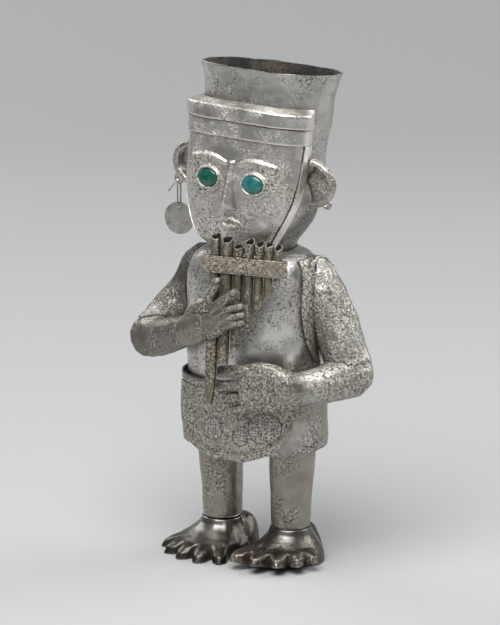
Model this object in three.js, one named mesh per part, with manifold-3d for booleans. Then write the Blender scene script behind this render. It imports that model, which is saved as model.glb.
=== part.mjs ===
// Standing musician with a panpipe: a figural beaker hammered from sheet silver, with stone eyes.
// Millimetres, +Z up. The figure faces -Y and its left is +X. The origin is on the ground under its middle.
import * as THREE from 'three';
import { mergeVertices } from 'three/addons/utils/BufferGeometryUtils.js';
import Module from 'manifold-3d';

const wasm = await Module();
wasm.setup();

// Metal and clearances
const SHEET = 1.0;
const CUP_WALL = 1.2;
const GAP = 0.3;
const PIPE_WALL = 0.5;

// Where the axis of the neck stands, from the origin
const NECK_X = 0.3;
const NECK_Y = 4.6;

// Heights of the figure
const RIM_Z = 208.8;
const NECK_END_Z = 128;
const COLLAR_Z = 134;
const BAND_TOP_Z = 192.8;
const BAND_SPLIT_Z = 186.4;
const BROW_BAND_Z = 180.2;
const CHIN_Z = 134.8;
const BELT_TOP_Z = 80.2;
const BELT_HEIGHT = 3.2;
const SKIRT_HEM_Z = 50.5;
const APRON_HEM_Z = 47.5;
const TORSO_END_Z = 51.5;
const FLOOR_Z = 53;
const ANKLE_Z = 15;

// Head stance
const HEAD_LEAN = 6;
const HEAD_ROLL = 2.3;
const HEAD_TURN = -5;
const BEND_START_Z = 134;
const BEND_LENGTH = 14;

// Eyes, in the flat plan of the face
const EYE_X = 11;
const EYE_Z = 162.5;
const EYE_HALF_WIDTH = 4.7;
const EYE_HALF_HEIGHT = 3.6;
const BEZEL_WIDTH = 1.3;
const BEZEL_HEIGHT = 1.2;

// Ears and pendant
const EAR_REACH = 15;
const EAR_HALF_HEIGHT = 10.4;
const EAR_X = 25.8;
const EAR_Y = -4.6;
const EAR_Z = 164.8;
const LOBE_RADIUS = 1.5;
const LOBE_WIRE = 0.6;
const LOBE_X = 37;
const LOBE_Z = 157.2;
const WIRE_RADIUS = 0.4;
const WIRE_DROP = 9;
const DISC_RADIUS = 7;
const DISC_THICKNESS = 0.8;
const DISC_EDGE = 1.1;

// Shoulder strap
const STRAP_ABOVE_BELT = 6.3;
const STRAP_BELOW_COLLAR = 2;
const STRAP_WIDTH = 5.6;

// Arms
const SHOULDER_X = 25.5;
const SHOULDER_Y = 2.5;
const LEFT_ELBOW_X = 45.4;
const RIGHT_ELBOW_X = -46.2;
const SLEEVE_RADIUS = 9.8;

// Panpipe, measured from the mouth end of the longest pipe
const PIPE_RADII = [2.3, 2.4, 2.1, 2.1, 1.9, 1.8, 1.6];
const PIPE_TOPS = [0, -0.6, -3.8, -0.9, -1.5, -1.8, -2.2];
const PIPE_ENDS = [-71, -53.2, -47, -38.3, -29.3, -24, -17.7];
const PIPE_PITCH_GAP = 0.5;
const PIPE_PLUG = 1.5;
const PIPES_AT = [-1.7, -30, 144.9];
const PIPES_LEAN = -6.5;
const PIPES_TURN = 6.2;
const BINDING_TOP = -9;
const BINDING_HEIGHT = 6.8;
const BINDING_SHEET = 0.8;
const BINDING_OVERHANG = 3;
const BINDING_TAIL = 1.4;

// Legs and feet
const LEG_X = 16.5;
const LEG_Y = 0.5;
const LEG_TOP_RADIUS = 10.4;
const LEG_END_RADIUS = 8.4;
const LEG_SPREAD = 0.8;
const TOE_CLEFT = 7.8;
const LEFT_FOOT = { splay: 14, pitch: 21.5, inner: 30.5, outer: 22.5, lift: 4 };
const RIGHT_FOOT = { splay: 20, pitch: 23, inner: 25.5, outer: 26.5, lift: 0 };
const HEEL_REACH = 18;
const FOOT_SIDE = 14.5;
const HEEL_SEAM_Y = 4;

// Finishes read from the photograph
const SILVER = { color: 0x9c978d, roughness: 0.36, metalness: 1 };
const WORN_SILVER = { color: 0x8d867a, roughness: 0.5, metalness: 0.95 };
const TARNISH = { color: 0x8a7a66, roughness: 0.6, metalness: 0.8 };
const DARK_SILVER = { color: 0x77716a, roughness: 0.42, metalness: 1 };
const STONE_DARK = { color: 0x1c5a45, roughness: 0.35, metalness: 0 };
const STONE_LIGHT = { color: 0x2a7b73, roughness: 0.35, metalness: 0 };

// Small mathematics
const DEG = Math.PI / 180;
const clamp = (x, low, high) => Math.min(Math.max(x, low), high);
const mix = (a, b, t) => a + (b - a) * t;
const smooth = (a, b, x) => {
  const t = clamp((x - a) / (b - a), 0, 1);
  return t * t * (3 - 2 * t);
};
const steps = (count, last = true) => Array.from({ length: count + (last ? 1 : 0) }, (_, i) => i / count);
const vec = (p) => new THREE.Vector3(...p);

// A smooth curve y(x) through a few stations, flat beyond its ends
function spline(stations) {
  const slope = stations.map((_, i) => {
    const a = stations[Math.max(i - 1, 0)];
    const b = stations[Math.min(i + 1, stations.length - 1)];
    return (b[1] - a[1]) / (b[0] - a[0]);
  });
  return (x) => {
    if (x <= stations[0][0]) return stations[0][1];
    const last = stations.length - 1;
    if (x >= stations[last][0]) return stations[last][1];
    const i = stations.findIndex((s) => s[0] > x) - 1;
    const span = stations[i + 1][0] - stations[i][0];
    const t = (x - stations[i][0]) / span;
    const [p, q] = [stations[i][1], stations[i + 1][1]];
    const h = t * t * (3 - 2 * t);
    const bow = t * (1 - t) * span * ((1 - t) * slope[i] - t * slope[i + 1]);
    return p + (q - p) * h + bow;
  };
}

// A standing form given by its radius at an azimuth (0 is the front, 90 the figure's left) and a height
class Form {
  constructor(radius) {
    this.radius = radius;
  }

  flat(azimuth, z) {
    const r = this.radius(azimuth, z);
    return [r * Math.sin(azimuth * DEG), -r * Math.cos(azimuth * DEG)];
  }

  // The point that lies a given distance outside the form, at the same height
  point(azimuth, z, offset = 0) {
    const p = this.flat(azimuth, z);
    const a = this.flat(azimuth - 1.5, z);
    const b = this.flat(azimuth + 1.5, z);
    const length = Math.hypot(b[0] - a[0], b[1] - a[1]);
    const normal = [-(b[1] - a[1]) / length, (b[0] - a[0]) / length];
    const sign = Math.sign(normal[0] * p[0] + normal[1] * p[1]);
    const [c, d] = [this.flat(azimuth, z - 0.5), this.flat(azimuth, z + 0.5)];
    const slope = (d[0] - c[0]) * normal[0] + (d[1] - c[1]) * normal[1];
    const reach = sign * offset * Math.min(Math.sqrt(1 + slope * slope), 1.8);
    return new THREE.Vector3(p[0] + normal[0] * reach, p[1] + normal[1] * reach, z);
  }
}

// Stations are height, half width, depth in front and depth behind; the power squares the section up
function superellipse(stations, power) {
  const [width, front, back] = [1, 2, 3].map((k) => spline(stations.map((s) => [s[0], s[k]])));
  return (azimuth, z) => {
    const s = Math.abs(Math.sin(azimuth * DEG)) / width(z);
    const c = Math.cos(azimuth * DEG);
    const depth = c >= 0 ? front(z) : back(z);
    return (s ** power + (Math.abs(c) / depth) ** power) ** (-1 / power);
  };
}

// Meshes from grids of points
function closed(positions, index) {
  const geometry = new THREE.BufferGeometry();
  geometry.setAttribute('position', new THREE.BufferAttribute(new Float32Array(positions), 3));
  let volume = 0;
  const at = (i) => [positions[3 * i], positions[3 * i + 1], positions[3 * i + 2]];
  for (let k = 0; k < index.length; k += 3) {
    const [a, b, c] = [at(index[k]), at(index[k + 1]), at(index[k + 2])];
    volume += a[0] * (b[1] * c[2] - b[2] * c[1]) - a[1] * (b[0] * c[2] - b[2] * c[0])
      + a[2] * (b[0] * c[1] - b[1] * c[0]);
  }
  if (volume < 0) {
    for (let k = 0; k < index.length; k += 3) {
      [index[k + 1], index[k + 2]] = [index[k + 2], index[k + 1]];
    }
  }
  geometry.setIndex(index);
  return geometry;
}

const quad = (index, a, b, c, d) => index.push(a, b, c, a, c, d);

// A sheet of metal on a form, between an inner and an outer offset, laid out by place(s, t)
function sheet({ form, columns, rows, place, inner, outer, ring = false }) {
  const positions = [];
  const index = [];
  const n = columns.length;
  const m = rows.length;
  for (const offset of [outer, inner]) {
    for (const t of rows) {
      for (const s of columns) {
        const [azimuth, z] = place(s, t);
        positions.push(...form.point(azimuth, z, offset(azimuth, z)).toArray());
      }
    }
  }
  const at = (skin, i, j) => skin * n * m + j * n + (i % n);
  const spans = ring ? n : n - 1;
  for (let i = 0; i < spans; i += 1) {
    for (let j = 0; j < m - 1; j += 1) {
      quad(index, at(0, i, j), at(0, i + 1, j), at(0, i + 1, j + 1), at(0, i, j + 1));
      quad(index, at(1, i, j), at(1, i, j + 1), at(1, i + 1, j + 1), at(1, i + 1, j));
    }
    quad(index, at(1, i, 0), at(1, i + 1, 0), at(0, i + 1, 0), at(0, i, 0));
    quad(index, at(0, i, m - 1), at(0, i + 1, m - 1), at(1, i + 1, m - 1), at(1, i, m - 1));
  }
  if (!ring) {
    for (let j = 0; j < m - 1; j += 1) {
      quad(index, at(0, 0, j), at(0, 0, j + 1), at(1, 0, j + 1), at(1, 0, j));
      quad(index, at(1, n - 1, j), at(1, n - 1, j + 1), at(0, n - 1, j + 1), at(0, n - 1, j));
    }
  }
  return closed(positions, index);
}

// A skin through a chain of rings with like counts, capped at both ends or closed into a loop
function loft(rings, { loop = false, outline = null } = {}) {
  const n = rings[0].length;
  const positions = rings.flat().flatMap((p) => p.toArray());
  const index = [];
  const links = loop ? rings.length : rings.length - 1;
  for (let k = 0; k < links; k += 1) {
    const next = (k + 1) % rings.length;
    for (let i = 0; i < n; i += 1) {
      const j = (i + 1) % n;
      quad(index, k * n + i, k * n + j, next * n + j, next * n + i);
    }
  }
  if (!loop) {
    for (const [k, flip] of [[0, true], [rings.length - 1, false]]) {
      const faces = [];
      if (outline) {
        for (const [a, b, c] of THREE.ShapeUtils.triangulateShape(outline, [])) faces.push([a, b, c]);
        if (THREE.ShapeUtils.area(outline) < 0) faces.forEach((f) => f.reverse());
      } else {
        const centre = new THREE.Vector3();
        rings[k].forEach((p) => centre.addScaledVector(p, 1 / n));
        positions.push(...centre.toArray());
        const hub = positions.length / 3 - 1 - k * n;
        for (let i = 0; i < n; i += 1) faces.push([i, (i + 1) % n, hub]);
      }
      for (const [a, b, c] of faces) {
        if (flip) index.push(k * n + a, k * n + c, k * n + b);
        else index.push(k * n + a, k * n + b, k * n + c);
      }
    }
  }
  return closed(positions, index);
}

// A tapering limb along a curve; sizes(t) gives its two half thicknesses, a wall makes it hollow
function limb({ path, up, sizes, sides, count, wall = 0, startDome = 0, endDome = 0 }) {
  const curve = new THREE.CatmullRomCurve3(path.map(vec), false, 'centripetal');
  const skinRings = (inset) => {
    const rings = [];
    const ringAt = (t, shift, scale) => {
      const along = curve.getTangentAt(t);
      const centre = curve.getPointAt(t).addScaledVector(along, shift);
      const north = vec(up).addScaledVector(along, -vec(up).dot(along)).normalize();
      const east = new THREE.Vector3().crossVectors(along, north);
      const [a, b] = sizes(t);
      return Array.from({ length: sides }, (_, i) => {
        const angle = (i / sides) * 2 * Math.PI;
        return centre.clone()
          .addScaledVector(north, (a - inset) * scale * Math.cos(angle))
          .addScaledVector(east, (b - inset) * scale * Math.sin(angle));
      });
    };
    const domeSteps = [68, 34];
    if (startDome) {
      for (const d of domeSteps) {
        rings.push(ringAt(0, -Math.sin(d * DEG) * (startDome - inset), Math.cos(d * DEG)));
      }
    }
    for (const t of steps(count)) rings.push(ringAt(t, 0, 1));
    if (endDome) {
      for (const d of [...domeSteps].reverse()) {
        rings.push(ringAt(1, Math.sin(d * DEG) * (endDome - inset), Math.cos(d * DEG)));
      }
    }
    return rings;
  };
  const outer = skinRings(0);
  if (!wall) return loft(outer);
  const inner = skinRings(wall).reverse();
  return loft([...outer, ...inner], { loop: !startDome });
}

// Joining and cutting
function solid(geometry) {
  const bare = new THREE.BufferGeometry();
  bare.setAttribute('position', geometry.getAttribute('position').clone());
  bare.setIndex(geometry.getIndex().clone());
  const merged = mergeVertices(bare, 1e-4);
  const vertProperties = new Float32Array(merged.getAttribute('position').array);
  const triVerts = new Uint32Array(merged.getIndex().array);
  return new wasm.Manifold(new wasm.Mesh({ numProp: 3, vertProperties, triVerts }));
}

function surface(body) {
  const mesh = body.getMesh();
  const geometry = new THREE.BufferGeometry();
  geometry.setAttribute('position', new THREE.BufferAttribute(new Float32Array(mesh.vertProperties), 3));
  geometry.setIndex(Array.from(mesh.triVerts));
  return geometry;
}

const join = (...parts) => surface(parts.map(solid).reduce((a, b) => a.add(b)));
const cut = (part, ...tools) => surface(tools.map(solid).reduce((a, b) => a.subtract(b), solid(part)));
const keep = (part, tool) => surface(solid(part).intersect(solid(tool)));
const box = (x0, x1, y0, y1, z0, z1) => {
  const geometry = new THREE.BoxGeometry(x1 - x0, y1 - y0, z1 - z0);
  return geometry.translate((x0 + x1) / 2, (y0 + y1) / 2, (z0 + z1) / 2);
};

function mapped(geometry, move) {
  const copy = geometry.clone();
  const position = copy.getAttribute('position');
  for (let i = 0; i < position.count; i += 1) {
    const p = move(new THREE.Vector3().fromBufferAttribute(position, i));
    position.setXYZ(i, p.x, p.y, p.z);
  }
  return closed(Array.from(position.array), Array.from(copy.getIndex().array));
}

const mirrored = (geometry) => mapped(geometry, (p) => p.setX(-p.x));
const turned = (geometry, matrix) => mapped(geometry, (p) => p.applyMatrix4(matrix));

// The scene
const figure = new THREE.Group();
figure.position.set(NECK_X, NECK_Y, 0);
const colours = (finish) => new THREE.MeshStandardMaterial({ ...finish });
function add(name, geometry, finish, parent = figure) {
  const mesh = new THREE.Mesh(geometry, colours(finish));
  mesh.name = name;
  parent.add(mesh);
  return mesh;
}

// Head forms: the beaker with the back of the head, and the squarer front that stands before it
const beakerForm = new Form(superellipse([
  [NECK_END_Z, 15.3, 13, 13],
  [135, 16, 13.6, 13.8],
  [140, 19, 14.8, 16.2],
  [147, 22.6, 16.6, 18.6],
  [156, 25.2, 18, 20],
  [168, 26, 19, 20.6],
  [184, 26.2, 19.6, 20.8],
  [196, 27, 20, 21.4],
  [204, 28, 21.2, 22.6],
  [RIM_Z, 29.6, 22.8, 24.4],
], 2.6));

const faceSpan = spline([
  [CHIN_Z, 34], [139, 43], [146, 51], [154, 57], [164, 61], [176, 63], [BAND_SPLIT_Z, 64],
]);
const faceBox = superellipse([
  [CHIN_Z, 17, 17, 17],
  [139, 20.6, 19.4, 18],
  [146, 24.6, 21, 20],
  [154, 26.8, 21.8, 20],
  [164, 27.8, 22.1, 20],
  [176, 28, 22.1, 20],
  [196, 28, 22.1, 20],
], 4);
const faceForm = new Form((azimuth, z) => {
  const near = beakerForm.radius(azimuth, z) + GAP;
  const far = Math.max(faceBox(azimuth, z), near);
  const side = smooth(faceSpan(z) + 1, faceSpan(z) + 14, Math.abs(azimuth));
  const under = 1 - smooth(CHIN_Z - 0.5, CHIN_Z + 4, z);
  return mix(far, near, Math.max(side, under));
});

// The head leans back and rolls a little about the top of the neck
function bend(p) {
  const amount = smooth(0, BEND_LENGTH, p.z - BEND_START_Z);
  const pivot = new THREE.Vector3(0, 0, BEND_START_Z);
  const [x, y, z] = [-HEAD_LEAN, HEAD_ROLL, HEAD_TURN].map((angle) => angle * DEG * amount);
  return p.sub(pivot).applyEuler(new THREE.Euler(x, y, z)).add(pivot);
}
const head = (name, geometry, finish) => add(name, mapped(geometry, bend), finish);

// Beaker, with the neck below and the back of the head
const beakerRows = [NECK_END_Z, 134, 138, 142, 147, 153, 162, 173, 185, 195, 202, 206, RIM_Z];
const beakerShell = sheet({
  form: beakerForm,
  columns: steps(32, false),
  rows: beakerRows,
  place: (s, z) => [s * 360, z],
  inner: () => -CUP_WALL,
  outer: () => 0,
  ring: true,
});
head('beaker_shell', beakerShell, SILVER);

// Face: a raised sheet with a nose, brows, lips and bezels in relief, in a plain traditional manner
function onFace(x, z, height) {
  let low = -75;
  let high = 75;
  for (let k = 0; k < 24; k += 1) {
    const middle = (low + high) / 2;
    if (faceForm.flat(middle, z)[0] < x) low = middle;
    else high = middle;
  }
  return faceForm.point((low + high) / 2, z, SHEET + height);
}
const facePlan = (geometry) => mapped(geometry, (p) => onFace(p.x, p.y, p.z));
const oval = (x, z, a, b, height, sides) => Array.from({ length: sides }, (_, i) => {
  const angle = (i / sides) * 2 * Math.PI;
  return new THREE.Vector3(x + a * Math.cos(angle), z + b * Math.sin(angle), height);
});
const ROOT = -0.5;

function bezel(side) {
  const [a, b] = [EYE_HALF_WIDTH + GAP, EYE_HALF_HEIGHT + GAP];
  const ring = (grow, height) => oval(side * EYE_X, EYE_Z, a + grow, b + grow, height, 24);
  const width = BEZEL_WIDTH;
  const rings = [ring(0, ROOT), ring(0, BEZEL_HEIGHT), ring(width * 0.5, BEZEL_HEIGHT), ring(width, ROOT)];
  return facePlan(loft(rings, { loop: true }));
}

function inlay(side) {
  const ring = (k, height) => {
    return oval(side * EYE_X, EYE_Z, EYE_HALF_WIDTH * k, EYE_HALF_HEIGHT * k, height, 20);
  };
  return facePlan(loft([ring(1, GAP), ring(1, 1.0), ring(0.8, 1.5), ring(0.45, 1.75)]));
}

// A bar of relief along a path in the face plan, with a half width and a height at each end
function relief(path, halfWidth, height, count) {
  const curve = new THREE.CatmullRomCurve3(path.map(([x, z]) => new THREE.Vector3(x, z, 0)));
  const rings = steps(count).map((t) => {
    const p = curve.getPointAt(t);
    const along = curve.getTangentAt(t);
    const across = new THREE.Vector3(-along.y, along.x, 0);
    const w = halfWidth(t);
    const shoulder = height(t) * 0.45;
    const shape = [[-1, ROOT], [-0.8, shoulder], [0, height(t)], [0.8, shoulder], [1, ROOT]];
    return shape.map(([k, h]) => p.clone().addScaledVector(across, k * w).setZ(h));
  });
  return facePlan(loft(rings));
}

const arch = (t, ends) => ends + (1 - ends) * Math.sin(Math.PI * t);
const nose = relief([[0, 170.6], [0, 162], [0, 155], [0, 150.8]], (t) => 1.6 + 2.9 * t * t, (t) => {
  return 1.1 + 3.9 * Math.min(t / 0.9, 1) - 1.4 * Math.max(t - 0.9, 0) * 10;
}, 7);
const brow = (side) => relief(
  [[side * 2.6, 169.6], [side * 10, 171.4], [side * 20.5, 170.4]],
  (t) => 1.5 * arch(t, 0.5),
  (t) => 1.3 * arch(t, 0.5),
  7,
);
const upperLip = relief([[-6, 145.6], [0, 146.7], [6, 145.6]], (t) => 1.25 * arch(t, 0.3), (t) => {
  return 1.2 * arch(t, 0.2);
}, 6);
const lowerLip = relief([[-5.4, 144.9], [0, 143.7], [5.4, 144.9]], (t) => 1.2 * arch(t, 0.3), (t) => {
  return 1.1 * arch(t, 0.2);
}, 6);
const mask = sheet({
  form: faceForm,
  columns: steps(20),
  rows: [CHIN_Z, 136.5, 139, 143, 148, 155, 163, 172, 179, BAND_SPLIT_Z - 1],
  place: (s, z) => [mix(-1, 1, s) * faceSpan(z), z],
  inner: () => 0,
  outer: () => SHEET,
});
const facePlate = join(mask, bezel(-1), bezel(1), nose, brow(-1), brow(1), upperLip, lowerLip);
head('face_plate', facePlate, SILVER);
head('eye_inlay_left', inlay(1), STONE_LIGHT);
head('eye_inlay_right', inlay(-1), STONE_DARK);

// Headdress bands: a section in offset and height, swept round the front and dying out at the sides
function band(section, reach, count) {
  const rings = steps(count).map((s) => {
    const azimuth = mix(-reach, reach, s);
    return section(azimuth).map(([offset, z, base]) => base.point(azimuth, z, offset));
  });
  const outline = section(0).map(([offset, z, base]) => new THREE.Vector2(base.point(0, z, offset).y, z));
  return loft(rings, { outline });
}
const overMask = (azimuth) => (SHEET + GAP) * (1 - smooth(65, 74, Math.abs(azimuth)));
const lowerBand = band((azimuth) => {
  const inner = overMask(azimuth);
  const top = BAND_SPLIT_Z + GAP;
  return [
    [inner, BROW_BAND_Z, faceForm], [inner + SHEET, BROW_BAND_Z, faceForm],
    [inner + SHEET, top, faceForm], [inner, top, faceForm],
  ];
}, 77, 24);
head('headdress_lower_band', lowerBand, SILVER);

const LEDGE_RISE = 2;
const upperBand = band((azimuth) => {
  const inner = overMask(azimuth) + 0.9 * (1 - smooth(68, 76, Math.abs(azimuth)));
  const base = BAND_SPLIT_Z + 2 * GAP;
  const ledge = BAND_TOP_Z + LEDGE_RISE;
  return [
    [inner, base, faceForm], [inner + SHEET, base, faceForm],
    [inner + SHEET, BAND_TOP_Z, faceForm], [GAP, ledge, beakerForm],
    [GAP, ledge - SHEET, beakerForm], [inner, BAND_TOP_Z - SHEET, faceForm],
  ];
}, 77, 24);
head('headdress_upper_band', upperBand, SILVER);

// Chin straps along the edges of the face, from under the lower band to the chin
const strapInner = (z) => faceSpan(z) + 0.9;
const strapOuter = (z) => faceSpan(z) + 12 + 4 * (1 - smooth(136, 151, z));
const chinStrap = sheet({
  form: faceForm,
  columns: steps(4),
  rows: [136, 139, 143, 148, 155, 163, 172, BROW_BAND_Z - GAP],
  place: (s, z) => [mix(strapInner(z), strapOuter(z), s), z],
  inner: () => 0.4,
  outer: () => 1.5,
});
head('chin_strap_left', chinStrap, SILVER);
head('chin_strap_right', mirrored(chinStrap), SILVER);

// Ears: a cupped sheet with a rim that rolls forward, and a ring for the lobe
function earShell() {
  const section = [
    [0.02, 0.2], [0.55, 0.9], [0.86, 0.2], [1, -1.8], [0.92, -3.4], [0.76, -3.6],
    [0.78, -2.7], [0.86, -2.6], [0.9, -1.6], [0.8, -0.6], [0.5, 0.0], [0.02, -0.8],
  ];
  const rings = steps(11).map((s) => {
    const angle = mix(-82, 82, s) * DEG;
    const fold = 1 + 0.35 * Math.sin(angle);
    return section.map(([rho, h]) => new THREE.Vector3(
      EAR_X + EAR_REACH * rho * Math.cos(angle) ** 0.8,
      EAR_Y + h * fold,
      EAR_Z + EAR_HALF_HEIGHT * rho * Math.sin(angle),
    ));
  });
  const outline = section.map(([rho, h]) => new THREE.Vector2(rho * EAR_REACH, h));
  return loft(rings, { outline });
}
const lobeRing = new THREE.TorusGeometry(LOBE_RADIUS, LOBE_WIRE, 8, 16);
lobeRing.rotateX(Math.PI / 2);
lobeRing.translate(LOBE_X, EAR_Y - 1.6, LOBE_Z);
const beakerEnvelope = loft(beakerRows.map((z) => {
  return steps(32, false).map((s) => beakerForm.point(s * 360, z, GAP));
}));
const strapEnvelope = sheet({
  form: faceForm,
  columns: steps(4),
  rows: [135, 143, 152, 166, BROW_BAND_Z],
  place: (s, z) => [mix(strapInner(z) - 2, strapOuter(z) + 1, s), z],
  inner: () => -1,
  outer: () => 1.5 + GAP,
});
const earLeft = cut(join(earShell(), lobeRing), beakerEnvelope, strapEnvelope);
head('ear_left', earLeft, SILVER);
head('ear_right', mirrored(earLeft), SILVER);

// Pendant on the figure's right ear: a closed wire loop through the lobe ring, and a disc on it
const lobe = bend(new THREE.Vector3(-LOBE_X, EAR_Y - 1.6, LOBE_Z - LOBE_RADIUS));
const LOOP_RADIUS = LOBE_WIRE + GAP + WIRE_RADIUS;
const pendant = new THREE.Group();
pendant.position.copy(lobe);
figure.add(pendant);
const loopPoint = (s) => {
  const half = Math.PI * LOOP_RADIUS;
  const length = 2 * half + 2 * WIRE_DROP;
  const d = ((s % 1) + 1) % 1 * length;
  if (d < half) return [LOOP_RADIUS * Math.cos(d / LOOP_RADIUS), LOOP_RADIUS * Math.sin(d / LOOP_RADIUS)];
  if (d < half + WIRE_DROP) return [-LOOP_RADIUS, -(d - half)];
  if (d < 2 * half + WIRE_DROP) {
    const angle = Math.PI + (d - half - WIRE_DROP) / LOOP_RADIUS;
    return [LOOP_RADIUS * Math.cos(angle), LOOP_RADIUS * Math.sin(angle) - WIRE_DROP];
  }
  return [LOOP_RADIUS, -WIRE_DROP + (d - 2 * half - WIRE_DROP)];
};
const loopStops = () => {
  const half = Math.PI * LOOP_RADIUS;
  const length = 2 * half + 2 * WIRE_DROP;
  const arc = steps(8, false);
  return [
    ...arc.map((t) => t * half), half, half + WIRE_DROP / 2,
    ...arc.map((t) => half + WIRE_DROP + t * half), 2 * half + WIRE_DROP, 2 * half + 1.5 * WIRE_DROP,
  ].map((d) => d / length);
};
const wireRings = loopStops().map((s) => {
  const [y, z] = loopPoint(s);
  const [y0, z0] = loopPoint(s - 0.002);
  const [y1, z1] = loopPoint(s + 0.002);
  const along = new THREE.Vector3(0, y1 - y0, z1 - z0).normalize();
  const east = new THREE.Vector3().crossVectors(along, new THREE.Vector3(1, 0, 0));
  return Array.from({ length: 8 }, (_, i) => {
    const angle = (i / 8) * 2 * Math.PI;
    return new THREE.Vector3(WIRE_RADIUS * Math.cos(angle), y, z)
      .addScaledVector(east, WIRE_RADIUS * Math.sin(angle));
  });
});
add('pendant_wire', loft(wireRings, { loop: true }), WORN_SILVER, pendant);

const disc = new THREE.Group();
disc.position.z = -WIRE_DROP;
pendant.add(disc);
const holeRadius = WIRE_RADIUS + GAP;
const discCentre = -LOOP_RADIUS + holeRadius + DISC_EDGE - DISC_RADIUS;
const discShape = new THREE.Shape();
discShape.absarc(0, discCentre, DISC_RADIUS, 0, 2 * Math.PI);
const discHole = new THREE.Path();
discHole.absarc(0, -LOOP_RADIUS, holeRadius, 0, 2 * Math.PI, true);
discShape.holes.push(discHole);
const discGeometry = new THREE.ExtrudeGeometry(discShape, {
  depth: DISC_THICKNESS, bevelEnabled: false, curveSegments: 14,
});
discGeometry.translate(0, 0, -DISC_THICKNESS / 2);
discGeometry.rotateX(Math.PI / 2);
add('pendant_disc', discGeometry, WORN_SILVER, disc);

// Torso: a front and a back sheet with seams under the arms
const torsoForm = new Form(superellipse([
  [44, 25, 19, 19],
  [52, 29, 22, 21],
  [62, 30, 23, 21.5],
  [74, 29.5, 22, 21],
  [88, 29.5, 22, 21],
  [102, 30, 22.3, 21],
  [114, 30, 21.5, 20.5],
  [121, 29.6, 20.4, 19.8],
  [126, 28.8, 19.4, 19],
  [129, 27.3, 18.4, 18.2],
  [131.5, 24.6, 17.2, 17],
  [133.2, 21.4, 16.5, 16.6],
  [COLLAR_Z, 18.2, 15.7, 15.9],
], 2.4));
const torsoRows = [TORSO_END_Z, 60, 72, 84, 96, 106, 114, 120, 125, 128.5, 131, 132.8, COLLAR_Z];
const SEAM = 0.35;
const torsoHalf = (middle) => sheet({
  form: torsoForm,
  columns: steps(16),
  rows: torsoRows,
  place: (s, z) => [middle + mix(-90 + SEAM, 90 - SEAM, s), z],
  inner: () => -SHEET,
  outer: () => 0,
});
add('torso_front', torsoHalf(0), SILVER);
add('torso_back', torsoHalf(180), SILVER);
const plateRing = (z) => steps(32, false).map((s) => torsoForm.point(s * 360, z, -SHEET - GAP));
add('torso_floor', loft([plateRing(FLOOR_Z), plateRing(FLOOR_Z + SHEET)]), DARK_SILVER);

// Skirt, apron and belt lie over the torso
const skirtOffset = (azimuth, z) => GAP + 1.2 * (1 - smooth(SKIRT_HEM_Z, SKIRT_HEM_Z + 9, z));
const skirt = sheet({
  form: torsoForm,
  columns: steps(32, false),
  rows: [SKIRT_HEM_Z, 54, 60, 70, BELT_TOP_Z - BELT_HEIGHT / 2],
  place: (s, z) => [s * 360, z],
  inner: skirtOffset,
  outer: (azimuth, z) => skirtOffset(azimuth, z) + SHEET,
  ring: true,
});
add('skirt', skirt, SILVER);
const apronSpan = spline([[APRON_HEM_Z, 20], [50, 37], [54, 49], [60, 58], [68, 63], [78, 64]]);
const apronOffset = (azimuth, z) => skirtOffset(azimuth, z) + SHEET + GAP;
const apronTop = BELT_TOP_Z - BELT_HEIGHT - GAP;
const apron = sheet({
  form: torsoForm,
  columns: steps(16),
  rows: [APRON_HEM_Z, 48.6, 50.5, 54, 60, 70, apronTop],
  place: (s, z) => [mix(-1, 1, s) * apronSpan(z), z],
  inner: apronOffset,
  outer: (azimuth, z) => apronOffset(azimuth, z) + SHEET,
});
add('apron', apron, SILVER);
const belt = sheet({
  form: torsoForm,
  columns: steps(32, false),
  rows: [BELT_TOP_Z - BELT_HEIGHT, BELT_TOP_Z],
  place: (s, z) => [s * 360, z],
  inner: () => GAP + SHEET + GAP,
  outer: () => GAP + SHEET + GAP + SHEET,
  ring: true,
});
add('belt', belt, SILVER);

// Shoulder strap with its pointed end, and the small tab below it
const strapEnd = BELT_TOP_Z + STRAP_ABOVE_BELT;
const strapAt = (share) => mix(strapEnd, COLLAR_Z - STRAP_BELOW_COLLAR, share);
const strapAzimuth = spline([
  [strapAt(0), 87], [strapAt(0.21), 77], [strapAt(0.43), 72], [strapAt(0.69), 73], [strapAt(1), 80],
]);
const strapWidth = spline([
  [strapAt(0), 0.6], [strapAt(0.06), 0.65 * STRAP_WIDTH], [strapAt(0.56), 0.9 * STRAP_WIDTH],
  [strapAt(1), 1.25 * STRAP_WIDTH],
]);
const strapSheet = (grow, inner, outer) => sheet({
  form: torsoForm,
  columns: steps(3),
  rows: [strapAt(0) - grow, ...[0.06, 0.22, 0.4, 0.56, 0.72, 0.83, 0.9, 0.95].map(strapAt), strapAt(1) + grow],
  place: (s, z) => {
    const half = (strapWidth(z) / 2 + grow) / torsoForm.radius(strapAzimuth(z), z) / DEG;
    return [strapAzimuth(z) + mix(-half, half, s), z];
  },
  inner: () => inner,
  outer: () => outer,
});
const STRAP_LIFT = 0.9;
add('shoulder_strap', strapSheet(0, STRAP_LIFT, STRAP_LIFT + SHEET), WORN_SILVER);
const tabPatch = (from, to, low, high, outer) => sheet({
  form: torsoForm,
  columns: steps(2),
  rows: [low, high],
  place: (s, z) => [mix(from, to, s), z],
  inner: () => GAP,
  outer: () => outer,
});
const tab = join(
  tabPatch(70, 77, strapEnd - 3.5, strapEnd - 0.5, 1.8),
  tabPatch(76, 92, strapEnd - 2.9, strapEnd - 1.1, 1.3),
);
add('strap_tab', tab, WORN_SILVER);

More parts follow.
